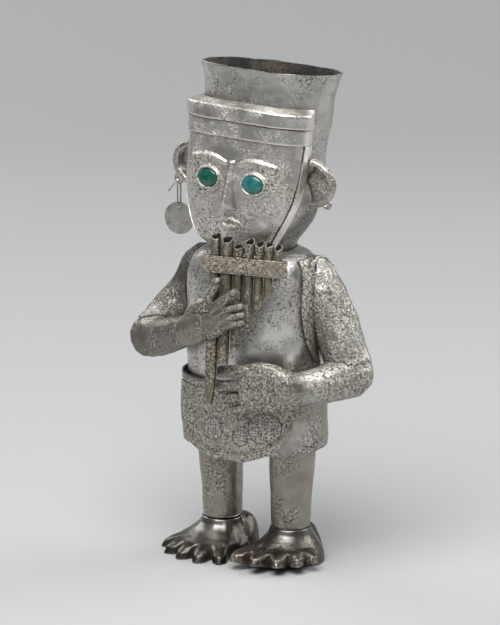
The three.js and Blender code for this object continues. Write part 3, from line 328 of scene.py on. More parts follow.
class Finishes:
    """Makes each finish's material once, from shared node groups."""

    TARNISH = (0.22, 0.165, 0.11, 1.0)
    GRIME = (0.11, 0.09, 0.065, 1.0)
    BARE_GRAIN = (0.86, 0.84, 0.79, 1.0)
    CRUST = (0.085, 0.06, 0.035, 1.0)
    # Polished silver on raised edges, which also serves as painted highlight on edges and on bright spots.
    POLISH_AND_HIGHLIGHT = (0.82, 0.81, 0.77, 1.0)
    # Painted shade: near-black and dark brown, laid inside bowls and on dark spots.
    SHADE_BLACK = (0.01, 0.008, 0.006, 1.0)
    SHADE_BROWN = (0.055, 0.04, 0.024, 1.0)
    PIT_FLOOR = (0.05, 0.04, 0.03, 1.0)
    STONE_VEIN = (0.01, 0.05, 0.04, 1.0)
    PITS_PER_METRE = 980.0
    RELIEF = 0.35 * MM

    def __init__(self) -> None:
        """Builds the shared groups."""
        self.made: dict[str, Material] = {}
        self.worn_metal_and_painted_light = self.build_worn_metal_and_painted_light()
        self.ring_line = self.build_ring_line()
        self.soft_spot = self.build_soft_spot()
        self.lattice = self.build_lattice()
        self.punched = self.build_punched()

    def build_worn_metal_and_painted_light(self) -> NodeTree:
        """The group that pits, stains and wears silver, and paints shade and highlights on it.

        Returns:
            The group's tree.
        """
        graph, given, result = new_group(
            "WornMetalAndPaintedLight",
            {"Vector": ("Vector",), "Color": ("Color",),
             "Float": ("Roughness", "Pits", "Stain", "Recess", "Edge", "Marks", "Black")},
            {"Color": ("Color",), "Float": ("Roughness", "Metallic", "Height")},
        )
        place, recess, edge, painted_shade = (given[name] for name in ("Vector", "Recess", "Edge", "Black"))

        # How far corrosion has gone, and what it leaves: pits with rims, low and high grit.
        cloud = graph.noise(place, 48.0)
        patch = graph.noise(place, 170.0, 2.0)
        amount = ((cloud - 0.5) * 3.2 + (patch - 0.5) * 1.5 + given["Pits"]).by("MINIMUM", 1.0)
        pit, rim = self.pit_layer(graph.shaken(place, 1300.0, 0.5 * MM), amount.step(0.0, 0.7, 0.0, 0.4))
        eaten = amount.step(0.15, 0.9)
        grit = graph.noise(place, 980.0, 2.0, 0.7)
        low = grit.fade(0.38, 0.48) * eaten
        high = grit.step(0.52, 0.61) * eaten
        grain = graph.noise(place, 2400.0, 2.0)
        marks = given["Marks"] * graph.noise(place, 520.0, 2.0).step(0.32, 0.5, 0.35, 1.0)
        dark = largest(pit * 0.85, marks * 0.8).clamped()

        # The colour, from the stained metal up to what lies on it, with painted highlights and painted shade laid
        # over it.
        tint = graph.noise(place, 34.0, 4.0, 0.62).step(0.44, 0.7)
        base = graph.mix(tint * (given["Stain"] * 0.55), given["Color"], self.TARNISH)
        soft = graph.noise(place, 120.0).step(0.35, 0.68, 0.88, 1.08)
        base = graph.read("VectorMath", 0, {0: base, "Scale": soft + rim * 0.25}, operation="SCALE")
        base = graph.mix(low * 0.8, base, self.GRIME)
        base = graph.mix(high * 0.5, base, self.BARE_GRAIN)
        sheltered = recess * graph.noise(place, 150.0).step(0.2, 0.75, 0.75, 1.15)
        base = graph.mix((sheltered * 0.85).clamped(), base, self.CRUST)
        # Polish on raised edges and painted highlights: the edge mask lightens the colour.
        base = graph.mix((edge * 0.5).clamped(), base, self.POLISH_AND_HIGHLIGHT)
        # Painted shade inside bowls and on dark spots, which also darkens and dulls the metal there.
        shade_colour = graph.mix(graph.noise(place, 30.0, 2.0).step(0.42, 0.6), self.SHADE_BLACK, self.SHADE_BROWN)
        base = graph.mix((painted_shade * 0.96).clamped(), base, shade_colour)
        base = graph.mix(dark, base, self.PIT_FLOOR)

        rough = given["Roughness"] + (grain - 0.5) * 0.12 + eaten * 0.06 + (dark + low) * 0.22 + recess * 0.2
        rough = (rough - edge * 0.1).clamped() + painted_shade * 0.12
        metallic = (1.0 - dark * 0.8) - (recess * 0.5 + painted_shade * 0.4)
        height = grain * 0.06 + graph.noise(place, 300.0, 2.0) * 0.14 + (high - low) * 0.32 + rim * 0.12
        height = height - largest(pit, marks) * 0.7
        graph.fill(result, {
            "Color": base, "Roughness": rough.clamped(), "Metallic": metallic.clamped(), "Height": height,
        })
        return graph.tree

    def pit_layer(self, place: Value, amount: Value) -> tuple[Value, Value]:
        """Round pits, one to a cell, where a cell's own number is under the amount.

        Args:
            place: where the cells are read.
            amount: the share of cells that have a pit.

        Returns:
            The masks of the pits and of the raised metal round them.
        """
        graph = place.graph
        cells = graph.node("TexVoronoi", {"Vector": place, "Scale": self.PITS_PER_METRE}, feature="F1")
        own, _, _ = graph.split(Value(graph, cells.outputs["Color"]))
        beyond = (amount - own).by("MAXIMUM", 0.0)
        radius = beyond * 0.36 + 0.22
        there = beyond.by("GREATER_THAN", 0.001)
        distance = Value(graph, cells.outputs["Distance"])
        return distance.fade(radius * 0.6, radius) * there, distance.fade(radius, radius + 0.22) * there

    def build_ring_line(self) -> NodeTree:
        """The group that draws a thin ring round a centre, in the plane of X and Z.

        Returns:
            The group's tree.
        """
        graph, given, result = new_group(
            "RingLine", {"Vector": ("Vector",), "Float": ("X", "Z", "Radius", "Width")}, {"Float": ("Line", "Inside")}
        )
        x, _, z = graph.split(given["Vector"])
        distance = ((x - given["X"]).by("POWER", 2.0) + (z - given["Z"]).by("POWER", 2.0)).by("SQRT")
        line = abs(distance - given["Radius"]).fade(given["Width"] * 0.4, given["Width"])
        graph.fill(result, {"Line": line, "Inside": distance.by("LESS_THAN", given["Radius"])})
        return graph.tree

    def build_soft_spot(self) -> NodeTree:
        """The group that fades round a point, with a ragged edge.

        Returns:
            The group's tree.
        """
        graph, given, result = new_group(
            "SoftSpot", {"Vector": ("Vector", "Centre"), "Float": ("Radius", "Strength")}, {"Float": ("Spot",)}
        )
        place = given["Vector"]
        apart = graph.read("VectorMath", "Value", {0: place, 1: given["Centre"]}, operation="DISTANCE")
        ragged = given["Radius"] * graph.noise(place, 90.0, 4.0, 0.6).step(0.3, 0.7, 0.6, 1.3)
        graph.fill(result, {"Spot": apart.fade(ragged * 0.45, ragged) * given["Strength"]})
        return graph.tree

    def build_lattice(self) -> NodeTree:
        """The group that draws two crossing sets of slanted lines, in the plane of X and Z.

        Returns:
            The group's tree.
        """
        graph, given, result = new_group(
            "Lattice", {"Vector": ("Vector",), "Float": ("Spacing", "Width")}, {"Float": ("Lines",)}
        )
        x, _, z = graph.split(graph.shaken(given["Vector"], 230.0, 1.6 * MM))
        rise = z * 0.85
        lines = []
        for across in (x + rise, x - rise):
            off = abs(across.by("DIVIDE", given["Spacing"]).by("FRACT") - 0.5)
            lines.append(off.fade(given["Width"] * 0.4, given["Width"]))
        graph.fill(result, {"Lines": largest(*lines)})
        return graph.tree

    def build_punched(self) -> NodeTree:
        """The group that punches small round dots, seen along Y.

        Returns:
            The group's tree.
        """
        graph, given, result = new_group(
            "Punched", {"Vector": ("Vector",), "Float": ("Scale",)}, {"Float": ("Dots",)}
        )
        x, _, z = graph.split(given["Vector"])
        flat = graph.read("CombineXYZ", 0, {"X": x, "Y": z})
        inputs = {"Vector": flat, "Scale": given["Scale"], "Randomness": 0.6}
        apart = graph.read("TexVoronoi", "Distance", inputs, feature="F1", voronoi_dimensions="2D")
        graph.fill(result, {"Dots": apart.fade(0.24, 0.36)})
        return graph.tree

    def marks(self, engraving: Engraving, place: Value) -> tuple[object, object]:
        """What is chased into a sheet.

        Args:
            engraving: which pattern.
            place: object coordinates.

        Returns:
            The masks of the marks and of the worn metal round them, or 0 where there is none.
        """
        draw = {
            Engraving.BINDING: self.binding_marks, Engraving.STRAP: self.strap_marks,
            Engraving.APRON: self.apron_marks, Engraving.HAND: self.hand_marks,
        }.get(engraving)
        return draw(place) if draw else (0.0, 0.0)

    def binding_marks(self, place: Value) -> tuple[Value, float]:
        """The crossed lines on the binding strip, with a plain line along both borders.

        Args:
            place: object coordinates.

        Returns:
            The marks, and 0 for their ground.
        """
        graph = place.graph
        inputs = {"Vector": place, "Location": PANPIPE.origin, "Rotation": PANPIPE.turn}
        local = graph.read("Mapping", 0, inputs, vector_type="TEXTURE")
        lines = graph.group(self.lattice, Vector=local, Spacing=2.9 * MM, Width=0.085)["Lines"]
        _, _, z = graph.split(local)
        middle = (PANPIPE.binding_top - PANPIPE.binding_height / 2) * MM
        border = abs(abs(z - middle) - PANPIPE.binding_height * 0.42 * MM)
        return largest(lines, border.fade(0.08 * MM, 0.22 * MM)), 0.0

    def strap_marks(self, place: Value) -> tuple[Value, float]:
        """The small lattice down the shoulder strap, which faces sideways, and 0 for its ground."""
        turned = place.graph.read("Mapping", 0, {"Vector": place, "Rotation": (0.0, 0.0, math.radians(90))})
        return place.graph.group(self.lattice, Vector=turned, Spacing=3.1 * MM, Width=0.1)["Lines"], 0.0

    def ring(self, place: Value, x: float, z: float, radius: float, width: float) -> dict[str, Value]:
        """A ring round a centre, all in millimetres: its line and what is inside it."""
        measures = {"X": x, "Z": z, "Radius": radius, "Width": width}
        return place.graph.group(self.ring_line, Vector=place, **{key: size * MM for key, size in measures.items()})

    def apron_marks(self, place: Value) -> tuple[Value, Value]:
        """Round medallions filled with punched dots, and a border above the hem.

        Args:
            place: object coordinates.

        Returns:
            The marks and the worn ground of the medallions.
        """
        graph = place.graph
        dots = graph.group(self.punched, Vector=place, Scale=780.0)["Dots"]
        rings = [self.ring(place, *medallion, 0.35) for medallion in APRON_MEDALLIONS]
        filled = [largest(ring["Line"] * 0.9, ring["Inside"] * dots) for ring in rings]
        hem = graph.attribute("hem")
        borders = [abs(hem - height * MM).fade(0.1 * MM, 0.3 * MM) for height in APRON_BORDERS]
        return largest(*filled, *borders), largest(*(ring["Inside"] for ring in rings)) * 0.4

    def hand_marks(self, place: Value) -> tuple[Value, Value]:
        """Punched dots inside a triangle on the back of the hand, and two nails.

        Args:
            place: object coordinates.

        Returns:
            The marks and the worn ground of the triangle.
        """
        graph, shape = place.graph, HAND_TRIANGLE
        x, _, z = graph.split(place)
        low = (z - shape.base * MM) - x * shape.base_slope
        left = (x - shape.left * MM) * shape.left_slope - low
        right = (shape.right * MM - x) * shape.right_slope - low
        inside = low.by("MINIMUM", left.by("MINIMUM", right))
        line = abs(inside).fade(0.2 * MM, 0.45 * MM)
        dots = graph.group(self.punched, Vector=place, Scale=680.0)["Dots"]
        filled = inside.by("GREATER_THAN", 0.4 * MM) * dots
        nails = [self.ring(place, *nail, 0.55)["Line"] for nail in HAND_NAILS]
        return largest(largest(line, filled) * shape.depth, *nails), inside.by("GREATER_THAN", 0.0) * 0.55

    def spots(self, attribute: str, spots: Spots, place: Value) -> Value:
        """An attribute joined with soft spots.

        Args:
            attribute: the attribute's name.
            spots: the finish's painted shade spots, or its painted highlight spots.
            place: object coordinates.

        Returns:
            The mask.
        """
        masks = [place.graph.attribute(attribute)]
        for *centre, radius, strength in spots:
            inputs = {"Centre": tuple(value * MM for value in centre), "Radius": radius * MM, "Strength": strength}
            masks.append(place.graph.group(self.soft_spot, Vector=place, **inputs)["Spot"])
        return largest(*masks)

    def metal(self, finish: Metal) -> Material:
        """The material of a silver finish.

        Args:
            finish: the finish.

        Returns:
            The material.
        """
        material, graph, shader = new_material(finish.name)
        place = graph.read("TexCoord", "Object")
        marks, ground = self.marks(finish.engraving, place)
        worn_and_highlit = graph.group(
            self.worn_metal_and_painted_light, Vector=place, Color=(*finish.color, 1.0), Roughness=finish.roughness, Pits=finish.pits,
            Stain=finish.stain, Recess=graph.attribute("recess"), Marks=marks,
            # The edge mask joins polish on raised edges, painted highlight spots and the worn ground of the marks;
            # the dark mask joins painted shade inside bowls and painted shade spots.
            Edge=self.spots("edge", finish.painted_highlight_spots, place).by("MAXIMUM", ground),
            Black=self.spots("bowl_shade", finish.painted_shade_spots, place),
        )
        bump = {"Strength": 0.8, "Distance": self.RELIEF, "Height": worn_and_highlit["Height"]}
        graph.fill(shader, {
            "Base Color": worn_and_highlit["Color"], "Roughness": worn_and_highlit["Roughness"], "Metallic": worn_and_highlit["Metallic"],
            "Normal": graph.read("Bump", "Normal", bump),
        })
        return material

    def stone(self, finish: Stone) -> Material:
        """The material of a polished stone inlay.

        Args:
            finish: the finish.

        Returns:
            The material.
        """
        material, graph, shader = new_material(finish.name)
        place = graph.read("TexCoord", "Object")
        cloud = graph.noise(place, 420.0, 4.0, 0.6).step(0.35, 0.68)
        color = graph.mix(cloud, (*finish.color, 1.0), (*finish.cloud, 1.0))
        vein = abs(graph.noise(place, 310.0, 2.0) - 0.5).step(0.0, 0.012, 0.5, 0.0)
        color = graph.mix(vein, color, self.STONE_VEIN)
        graph.fill(shader, {"Base Color": color, "Roughness": 0.22, "Coat Weight": 0.35, "Coat Roughness": 0.08})
        return material

    def material(self, finish: Metal | Stone) -> Material:
        """A finish's material, made at its first use."""
        if finish.name not in self.made:
            self.made[finish.name] = self.metal(finish) if isinstance(finish, Metal) else self.stone(finish)
        return self.made[finish.name]


class Dents:
    """Soft hammer dents: a sum of slow waves, alike in every run."""

    def __init__(self, seed: int, shortest: float, longest: float, count: int = 28) -> None:
        """Draws the waves.

        Args:
            seed: which set of dents.
            shortest: the shortest wave in millimetres.
            longest: the longest one.
            count: how many waves.
        """
        draw = np.random.default_rng(seed)
        way = draw.normal(size=(count, 3))
        way /= np.linalg.norm(way, axis=1)[:, None]
        self.waves = way * (2 * math.pi / (draw.uniform(shortest, longest, count) * MM))[:, None]
        self.phases = draw.uniform(0, 2 * math.pi, count)

    def depth(self, points: Rows) -> Rows:
        """How far each point moves out, about 1 at most."""
        return np.sin(points @ self.waves.T + self.phases).sum(1) * math.sqrt(2 / len(self.phases)) * 0.6


def skin_of(mesh: Mesh) -> tuple[Rows, Rows]:
    """A mesh's points and point normals.

    Args:
        mesh: the mesh.

    Returns:
        Both as rows, one for each point.
    """
    rows = []
    for items, name in ((mesh.vertices, "co"), (mesh.vertex_normals, "vector")):
        flat = np.zeros(len(items) * 3, np.float32)
        items.foreach_get(name, flat)
        rows.append(flat.reshape(-1, 3).astype(float))
    return rows[0], rows[1]


def move_points(mesh: Mesh, points: Rows) -> None:
    """Writes rows of points back to their mesh."""
    mesh.vertices.foreach_set("co", points.astype(np.float32).ravel())
    mesh.update()


def object_from(shape: BMesh, name: str) -> Object:
    """Makes an object of a shape and frees the shape.

    Args:
        shape: the shape.
        name: the object's name.

    Returns:
        The object, in the scene.
    """
    mesh = bpy.data.meshes.new(name)
    shape.to_mesh(mesh)
    shape.free()
    made = bpy.data.objects.new(name, mesh)
    bpy.context.scene.collection.objects.link(made)
    return made


def shade_smooth(mesh: Mesh) -> None:
    """Shades a mesh without facets."""
    mesh.polygons.foreach_set("use_smooth", [True] * len(mesh.polygons))


class Patina:
    """Writes how sheltered and how worn each point of a piece is, where highlights and, inside a bowl, shade are
    painted, for the finishes to read.
    """

    REACH = 8 * MM
    START = 0.5 * MM
    RAYS = 9
    GOLDEN_ANGLE = 2.39996
    SPREAD = 0.9
    LEVEL = 4 * MM
    FLAT_BEND = 180
    BEND_RANGE = 900

    def __init__(self) -> None:
        """Builds the tree of everything that can shelter a point, and a fan of rays."""
        corners: list[Vector] = []
        faces: list[tuple[int, ...]] = []
        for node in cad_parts.values():
            first = len(corners)
            corners += [v.co.copy() for v in node.data.vertices]
            faces += [tuple(first + i for i in p.vertices) for p in node.data.polygons]
        self.tree = BVHTree.FromPolygons(corners, faces)
        turn = np.arange(self.RAYS) * self.GOLDEN_ANGLE
        rise = np.sqrt((np.arange(self.RAYS) + 0.5) / self.RAYS) * self.SPREAD
        self.fan = np.stack([rise * np.cos(turn), rise * np.sin(turn), np.sqrt(1 - rise * rise)], 1)

    def write(self, piece: Object, bowl: bool) -> None:
        """Adds the attributes recess and edge, which also marks painted highlights, and inside a bowl an attribute of
        painted shade, to a finished piece.

        Args:
            piece: the piece.
            bowl: whether painted shade goes on its inside.
        """
        mesh = piece.data
        points, normals = skin_of(mesh)
        self.store(mesh, "edge", self.worn_and_highlit(mesh, points, normals))
        recess = self.sheltered(points, normals)
        self.store(mesh, "recess", recess)
        if bowl:
            self.store(mesh, "bowl_shade", self.inside(points, normals))

    def inside(self, points: Rows, normals: Rows) -> Rows:
        """Which points face the axis of the upright hollow that they go round, where shade is painted.

        Args:
            points: the piece's points.
            normals: their normals.

        Returns:
            A value from 0 to 1 for each point.
        """
        level = np.floor((points[:, 2] - points[:, 2].min()) / self.LEVEL).astype(int)
        count = np.maximum(np.bincount(level), 1)
        middle = np.stack([np.bincount(level, points[:, k]) / count for k in (0, 1)], 1)[level]
        inward = middle - points[:, :2]
        inward /= np.maximum(np.linalg.norm(inward, axis=1), 1e-9)[:, None]
        return np.clip((inward * normals[:, :2]).sum(1) * 4 - 0.6, 0, 1)

    def worn_and_highlit(self, mesh: Mesh, points: Rows, normals: Rows) -> Rows:
        """How far each point stands out from its neighbours, which is where polish stays and highlights are painted.

        Args:
            mesh: the piece's mesh.
            points: its points.
            normals: their normals.

        Returns:
            A value from 0 to 1 for each point.
        """
        pairs = np.zeros(len(mesh.edges) * 2, np.int32)
        mesh.edges.foreach_get("vertices", pairs)
        a, b = pairs.reshape(-1, 2).T
        total = np.zeros_like(points)
        count = np.zeros(len(points))
        reach = np.zeros(len(points))
        length = np.linalg.norm(points[a] - points[b], axis=1)
        for here, there in ((a, b), (b, a)):
            np.add.at(total, here, points[there])
            np.add.at(count, here, 1.0)
            np.add.at(reach, here, length)
        count = np.maximum(count, 1)
        out = -((total / count[:, None] - points) * normals).sum(1)
        bend = out / np.maximum((reach / count) ** 2, 1e-12)
        value = np.clip((bend - self.FLAT_BEND) / self.BEND_RANGE, 0, 1)
        for _ in range(2):
            spread = np.zeros(len(points))
            np.add.at(spread, a, value[b])
            np.add.at(spread, b, value[a])
            value = 0.5 * value + 0.5 * spread / count
        return value

    def sheltered(self, points: Rows, normals: Rows) -> Rows:
        """How much of what stands round each point is close by.

        Args:
            points: the piece's points.
            normals: their normals.

        Returns:
            A value from 0 to 1 for each point.
        """
        side = np.cross(normals, [0.0, 0.0, 1.0])
        side[np.linalg.norm(side, axis=1) < 1e-3] = [1.0, 0.0, 0.0]
        side /= np.linalg.norm(side, axis=1)[:, None]
        other = np.cross(normals, side)
        starts = points + normals * self.START
        result = np.zeros(len(points))
        for x, y, z in self.fan:
            ways = side * x + other * y + normals * z
            for i, (start, way) in enumerate(zip(starts.tolist(), ways.tolist())):
                result[i] += self.closeness(Vector(start), Vector(way))
        return np.clip(result / self.RAYS * 2.0 - 0.2, 0, 1)

    def closeness(self, start: Vector, way: Vector) -> float:
        """How near the first face is that looks back along a ray.

        Args:
            start: where the ray starts.
            way: its direction, one long.

        Returns:
            From 1 at the start to 0 at the end of the reach, and 0 where there is none.
        """
        gone = 0.0
        for _ in range(2):
            _, normal, _, distance = self.tree.ray_cast(start, way, self.REACH - gone)
            if distance is None:
                return 0.0
            gone += distance
            if normal.dot(way) < 0:
                return 1 - gone / self.REACH
            gone += self.START / 10
            start = start + way * (distance + self.START / 10)
        return 0.0

    def store(self, mesh: Mesh, name: str, values: Rows) -> None:
        """Keeps a value for each point under a name."""
        attribute = mesh.attributes.new(name, "FLOAT", "POINT")
        attribute.data.foreach_set("value", values.astype(np.float32))


class Workbench:
    """Turns CAD nodes and new shapes into finished pieces."""

    BEAD = 0.75
    SKIN = 0.12
    KEPT_ANGLE = 40
    SAME_POINT = 2e-6
    QUAD_FLATNESS = math.radians(28)
    QUAD_SQUARENESS = math.radians(50)
    FLARE_DEPTH = 1.8 * MM

    def __init__(self) -> None:
        """Sets out the finishes, the patina and the dents, whose waves are in millimetres."""
        self.finishes = Finishes()
        self.patina = Patina()
        self.slow = Dents(7, 9, 24)
        self.quick = Dents(11, 3.2, 7)

    def merged_copy(self, node: str) -> BMesh:
        """A joined-up copy of a CAD node, with its quads restored.

        Args:
            node: the CAD node.

        Returns:
            The copy.
        """
        shape = bmesh.new()
        shape.from_mesh(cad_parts[node].data)
        bmesh.ops.remove_doubles(shape, verts=shape.verts, dist=self.SAME_POINT)
        bmesh.ops.join_triangles(
            shape, faces=shape.faces, angle_face_threshold=self.QUAD_FLATNESS,
            angle_shape_threshold=self.QUAD_SQUARENESS,
        )
        return shape

    def sharpened(self, shape: BMesh, angle: float, crease: float) -> BMesh:
        """Creases the sharper edges.

        Args:
            shape: the shape.
            angle: how far an edge may turn, in degrees, without a crease.
            crease: how sharp the others stay, from 0 to 1.

        Returns:
            The shape.
        """
        layer = shape.edges.layers.float.new("crease_edge")
        for edge in shape.edges:
            if len(edge.link_faces) == 2 and edge.calc_face_angle(0.0) > math.radians(angle):
                edge[layer] = crease
        return shape

    def baked(self, piece: Object, kind: str, **settings: object) -> Object:
        """Applies a modifier to a piece.

        Args:
            piece: the piece.
            kind: the modifier's type.
            settings: attributes to set on it.

        Returns:
            The piece.
        """
        modifier = piece.modifiers.new(kind.title(), kind)
        for key, value in settings.items():
            setattr(modifier, key, value)
        bpy.context.view_layer.update()
        graph = bpy.context.evaluated_depsgraph_get()
        mesh = bpy.data.meshes.new_from_object(piece.evaluated_get(graph))
        piece.modifiers.clear()
        old = piece.data
        piece.data = mesh
        bpy.data.meshes.remove(old)
        return piece

    def subdivided(self, piece: Object, levels: int) -> Object:
        """Rounds a piece between its creases."""
        return self.baked(piece, "SUBSURF", levels=levels, render_levels=levels)

    def add_wire(self, shape: BMesh, path: Path, radius: float) -> None:
        """Adds a round wire along a smooth path to a shape.

        Args:
            shape: the shape.
            path: the wire's points, in millimetres.
            radius: its half thickness, in millimetres.
        """
        curve = bpy.data.curves.new("wire", "CURVE")
        curve.dimensions = "3D"
        curve.bevel_depth = radius * MM
        curve.bevel_resolution = 2
        curve.use_fill_caps = True
        line = curve.splines.new("NURBS")
        line.points.add(len(path) - 1)
        for point, place in zip(line.points, path):
            point.co = (*(value * MM for value in place), 1.0)
        line.use_endpoint_u = True
        line.order_u = 3
        line.resolution_u = 6
        holder = bpy.data.objects.new("wire", curve)
        mesh = bpy.data.meshes.new_from_object(holder)
        bpy.data.objects.remove(holder)
        bpy.data.curves.remove(curve)
        shape.from_mesh(mesh)
        bpy.data.meshes.remove(mesh)

    def dented(self, piece: Object, deep: float, fine: float, swell: float = 0.0) -> Object:
        """Beats slow and quick dents into a piece.

        Args:
            piece: the piece.
            deep: how far the slow dents go, in millimetres.
            fine: how far the quick ones go.
            swell: how far the whole skin moves out, in millimetres.

        Returns:
            The piece.
        """
        points, normals = skin_of(piece.data)
        depth = swell + self.slow.depth(points) * deep + self.quick.depth(points) * fine
        move_points(piece.data, points + normals * (depth * MM)[:, None])
        return piece

    def drawn_out(self, piece: Object, centre: Triple, way: Triple, reach: float, flare: float) -> None:
        """Draws one end of a form out to its neighbour and flares its rim.

        Args:
            piece: the piece.
            centre: the middle of its end, in millimetres.
            way: the direction in which it ends, one long.
            reach: how far the end goes out, in millimetres.
            flare: how far the rim opens.
        """
        points, _ = skin_of(piece.data)
        axis = np.array(way)
        apart = points - np.array(centre) * MM
        along = apart @ axis
        out = apart - along[:, None] * axis
        out /= np.maximum(np.linalg.norm(out, axis=1), 1e-9)[:, None]
        share = np.clip(1 + along / self.FLARE_DEPTH, 0, 1)
        moves = axis * (share * reach)[:, None] + out * (share ** 2 * flare)[:, None]
        move_points(piece.data, points + moves * MM)

    def finish(self, piece: Object, finish: Metal | Stone, body: str, *nodes: str,
               bowl: bool = False) -> Object:
        """Shades, ages and dresses a piece and sets it on its body.

        Args:
            piece: the piece, in its place.
            finish: its finish.
            body: the body it moves with.
            nodes: the CAD nodes that it stands for.
            bowl: whether painted shade goes on its inside.

        Returns:
            The piece.
        """
        shade_smooth(piece.data)
        self.patina.write(piece, bowl)
        piece.data.materials.clear()
        piece.data.materials.append(self.finishes.material(finish))
        if nodes:
            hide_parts(*nodes)
        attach(piece, body)
        log.info("%s: %d faces", piece.name, len(piece.data.polygons))
        return piece

    def sheet(self, node: str, finish: Metal | Stone, *, levels: int = 3, deep: float = 0.1, fine: float = 0.06,
              body: str = FIGURE, crease: float = 0.8, bowl: bool = False) -> Object:
        """A piece of sheet rounded from its CAD node.

        Args:
            node: the CAD node.
            finish: the piece's finish.
            levels: how often it is divided.
            deep: how far slow dents go, in millimetres.
            fine: how far quick dents go.
            body: the body it moves with.
            crease: how sharp its edges stay.
            bowl: whether painted shade goes on its inside.

        Returns:
            The piece.
        """
        shape = self.sharpened(self.merged_copy(node), self.KEPT_ANGLE, crease)
        piece = self.subdivided(object_from(shape, f"{node}_metal"), levels)
        return self.finish(self.dented(piece, deep, fine), finish, body, node, bowl=bowl)

    def wrought(self, node: str, finish: Metal, *, voxel: float = 0.42, rounds: int = 5, deep: float = 0.15,
                fine: float = 0.06, beads: tuple[Path, ...] = (), end: tuple | None = None) -> None:
        """Makes a piece with a free form, rebuilt from its CAD node in even small squares.

        Args:
            node: the CAD node.
            finish: the piece's finish.
            voxel: the size of its squares, in millimetres.
            rounds: how often it is softened.
            deep: how far slow dents go.
            fine: how far quick dents go.
            beads: paths on the skin along which it is raised.
            end: what drawn_out takes, where an end is drawn out.
        """
        shape = self.merged_copy(node)
        for path in beads:
            self.add_wire(shape, path, self.BEAD)
        piece = self.baked(object_from(shape, f"{node}_metal"), "REMESH", mode="VOXEL", voxel_size=voxel * MM)
        piece = self.baked(piece, "SMOOTH", factor=0.5, iterations=rounds)
        self.dented(piece, deep, fine, self.SKIN)
        if end:
            self.drawn_out(piece, *end)
        self.finish(piece, finish, FIGURE, node)


@dataclass
class Head:
    """The beaker shell, the face, the inlays, the bands, the chin straps and the ears."""

    bench: Workbench

    def build(self) -> None:
        """Makes the head's pieces."""
        # The shell's inside gets painted shade.
        self.bench.sheet("beaker_shell", SHELL, deep=0.28, fine=0.07, bowl=True)
        self.bench.wrought("face_plate", FACE, voxel=0.34, deep=0.1, fine=0.04)
        self.bench.sheet("eye_inlay_left", LIGHT_EYE, levels=2, deep=0.0, fine=0.03)
        self.bench.sheet("eye_inlay_right", DARK_EYE, levels=2, deep=0.0, fine=0.03)
        for level in ("lower", "upper"):
            self.bench.sheet(f"headdress_{level}_band", BAND, deep=0.12, fine=0.05)
        for side in SIDES:
            self.bench.sheet(f"chin_strap_{side}", LIT_CHIN_STRAP, fine=0.05)
            self.bench.wrought(f"ear_{side}", EAR, voxel=0.3, rounds=4, deep=0.3, fine=0.12)


@dataclass
class Pendant:
    """The wire loop and the disc that swing from the right ear."""

    bench: Workbench
    tail: Path = (
        (-35.4, 4.1, 157.6), (-36.3, 2.9, 157.9), (-37.4, 3.0, 157.2), (-38.9, 2.7, 155.4), (-40.4, 2.6, 153.2),
    )

    def build(self) -> None:
        """Makes the wire, twisted at its top, and the disc."""
        wire = self.bench.merged_copy("pendant_wire")
        self.bench.add_wire(wire, self.tail, 0.32)
        piece = self.bench.subdivided(object_from(wire, "pendant_wire_metal"), 1)
        self.bench.finish(self.bench.dented(piece, 0, 0.02), PENDANT, PENDANT_LOOP, "pendant_wire")
        self.bench.sheet("pendant_disc", PENDANT, levels=2, fine=0.03, body=PENDANT_PLATE, crease=0.9)


@dataclass
class Body:
    """The torso with its floor, and the dress over it."""

    bench: Workbench

    def build(self) -> None:
        """Makes the torso and the dress."""
        for side in ("front", "back"):
            self.bench.sheet(f"torso_{side}", BODY, deep=0.3)
        self.bench.sheet("torso_floor", FLOOR_PLATE, levels=1, fine=0.04)
        self.bench.sheet("skirt", SKIRT, deep=0.25)
        self.hemmed(self.bench.sheet("apron", APRON, deep=0.2))
        self.bench.sheet("belt", SKIRT, levels=2, deep=0.2)
        self.bench.sheet("shoulder_strap", STRAP, deep=0.15)
        self.bench.wrought("strap_tab", STRAP, voxel=0.25, rounds=2, deep=0.12, fine=0.05)

    def hemmed(self, apron: Object) -> None:
        """Writes how high each point of the apron stands above its lower edge, as the attribute hem.

        Args:
            apron: the apron.
        """
        points, _ = skin_of(apron.data)
        column = np.round(points[:, 0] / (0.5 * MM)).astype(int)
        column -= column.min()
        low = np.full(column.max() + 1, np.inf)
        np.minimum.at(low, column, points[:, 2])
        self.bench.patina.store(apron.data, "hem", points[:, 2] - low[column])


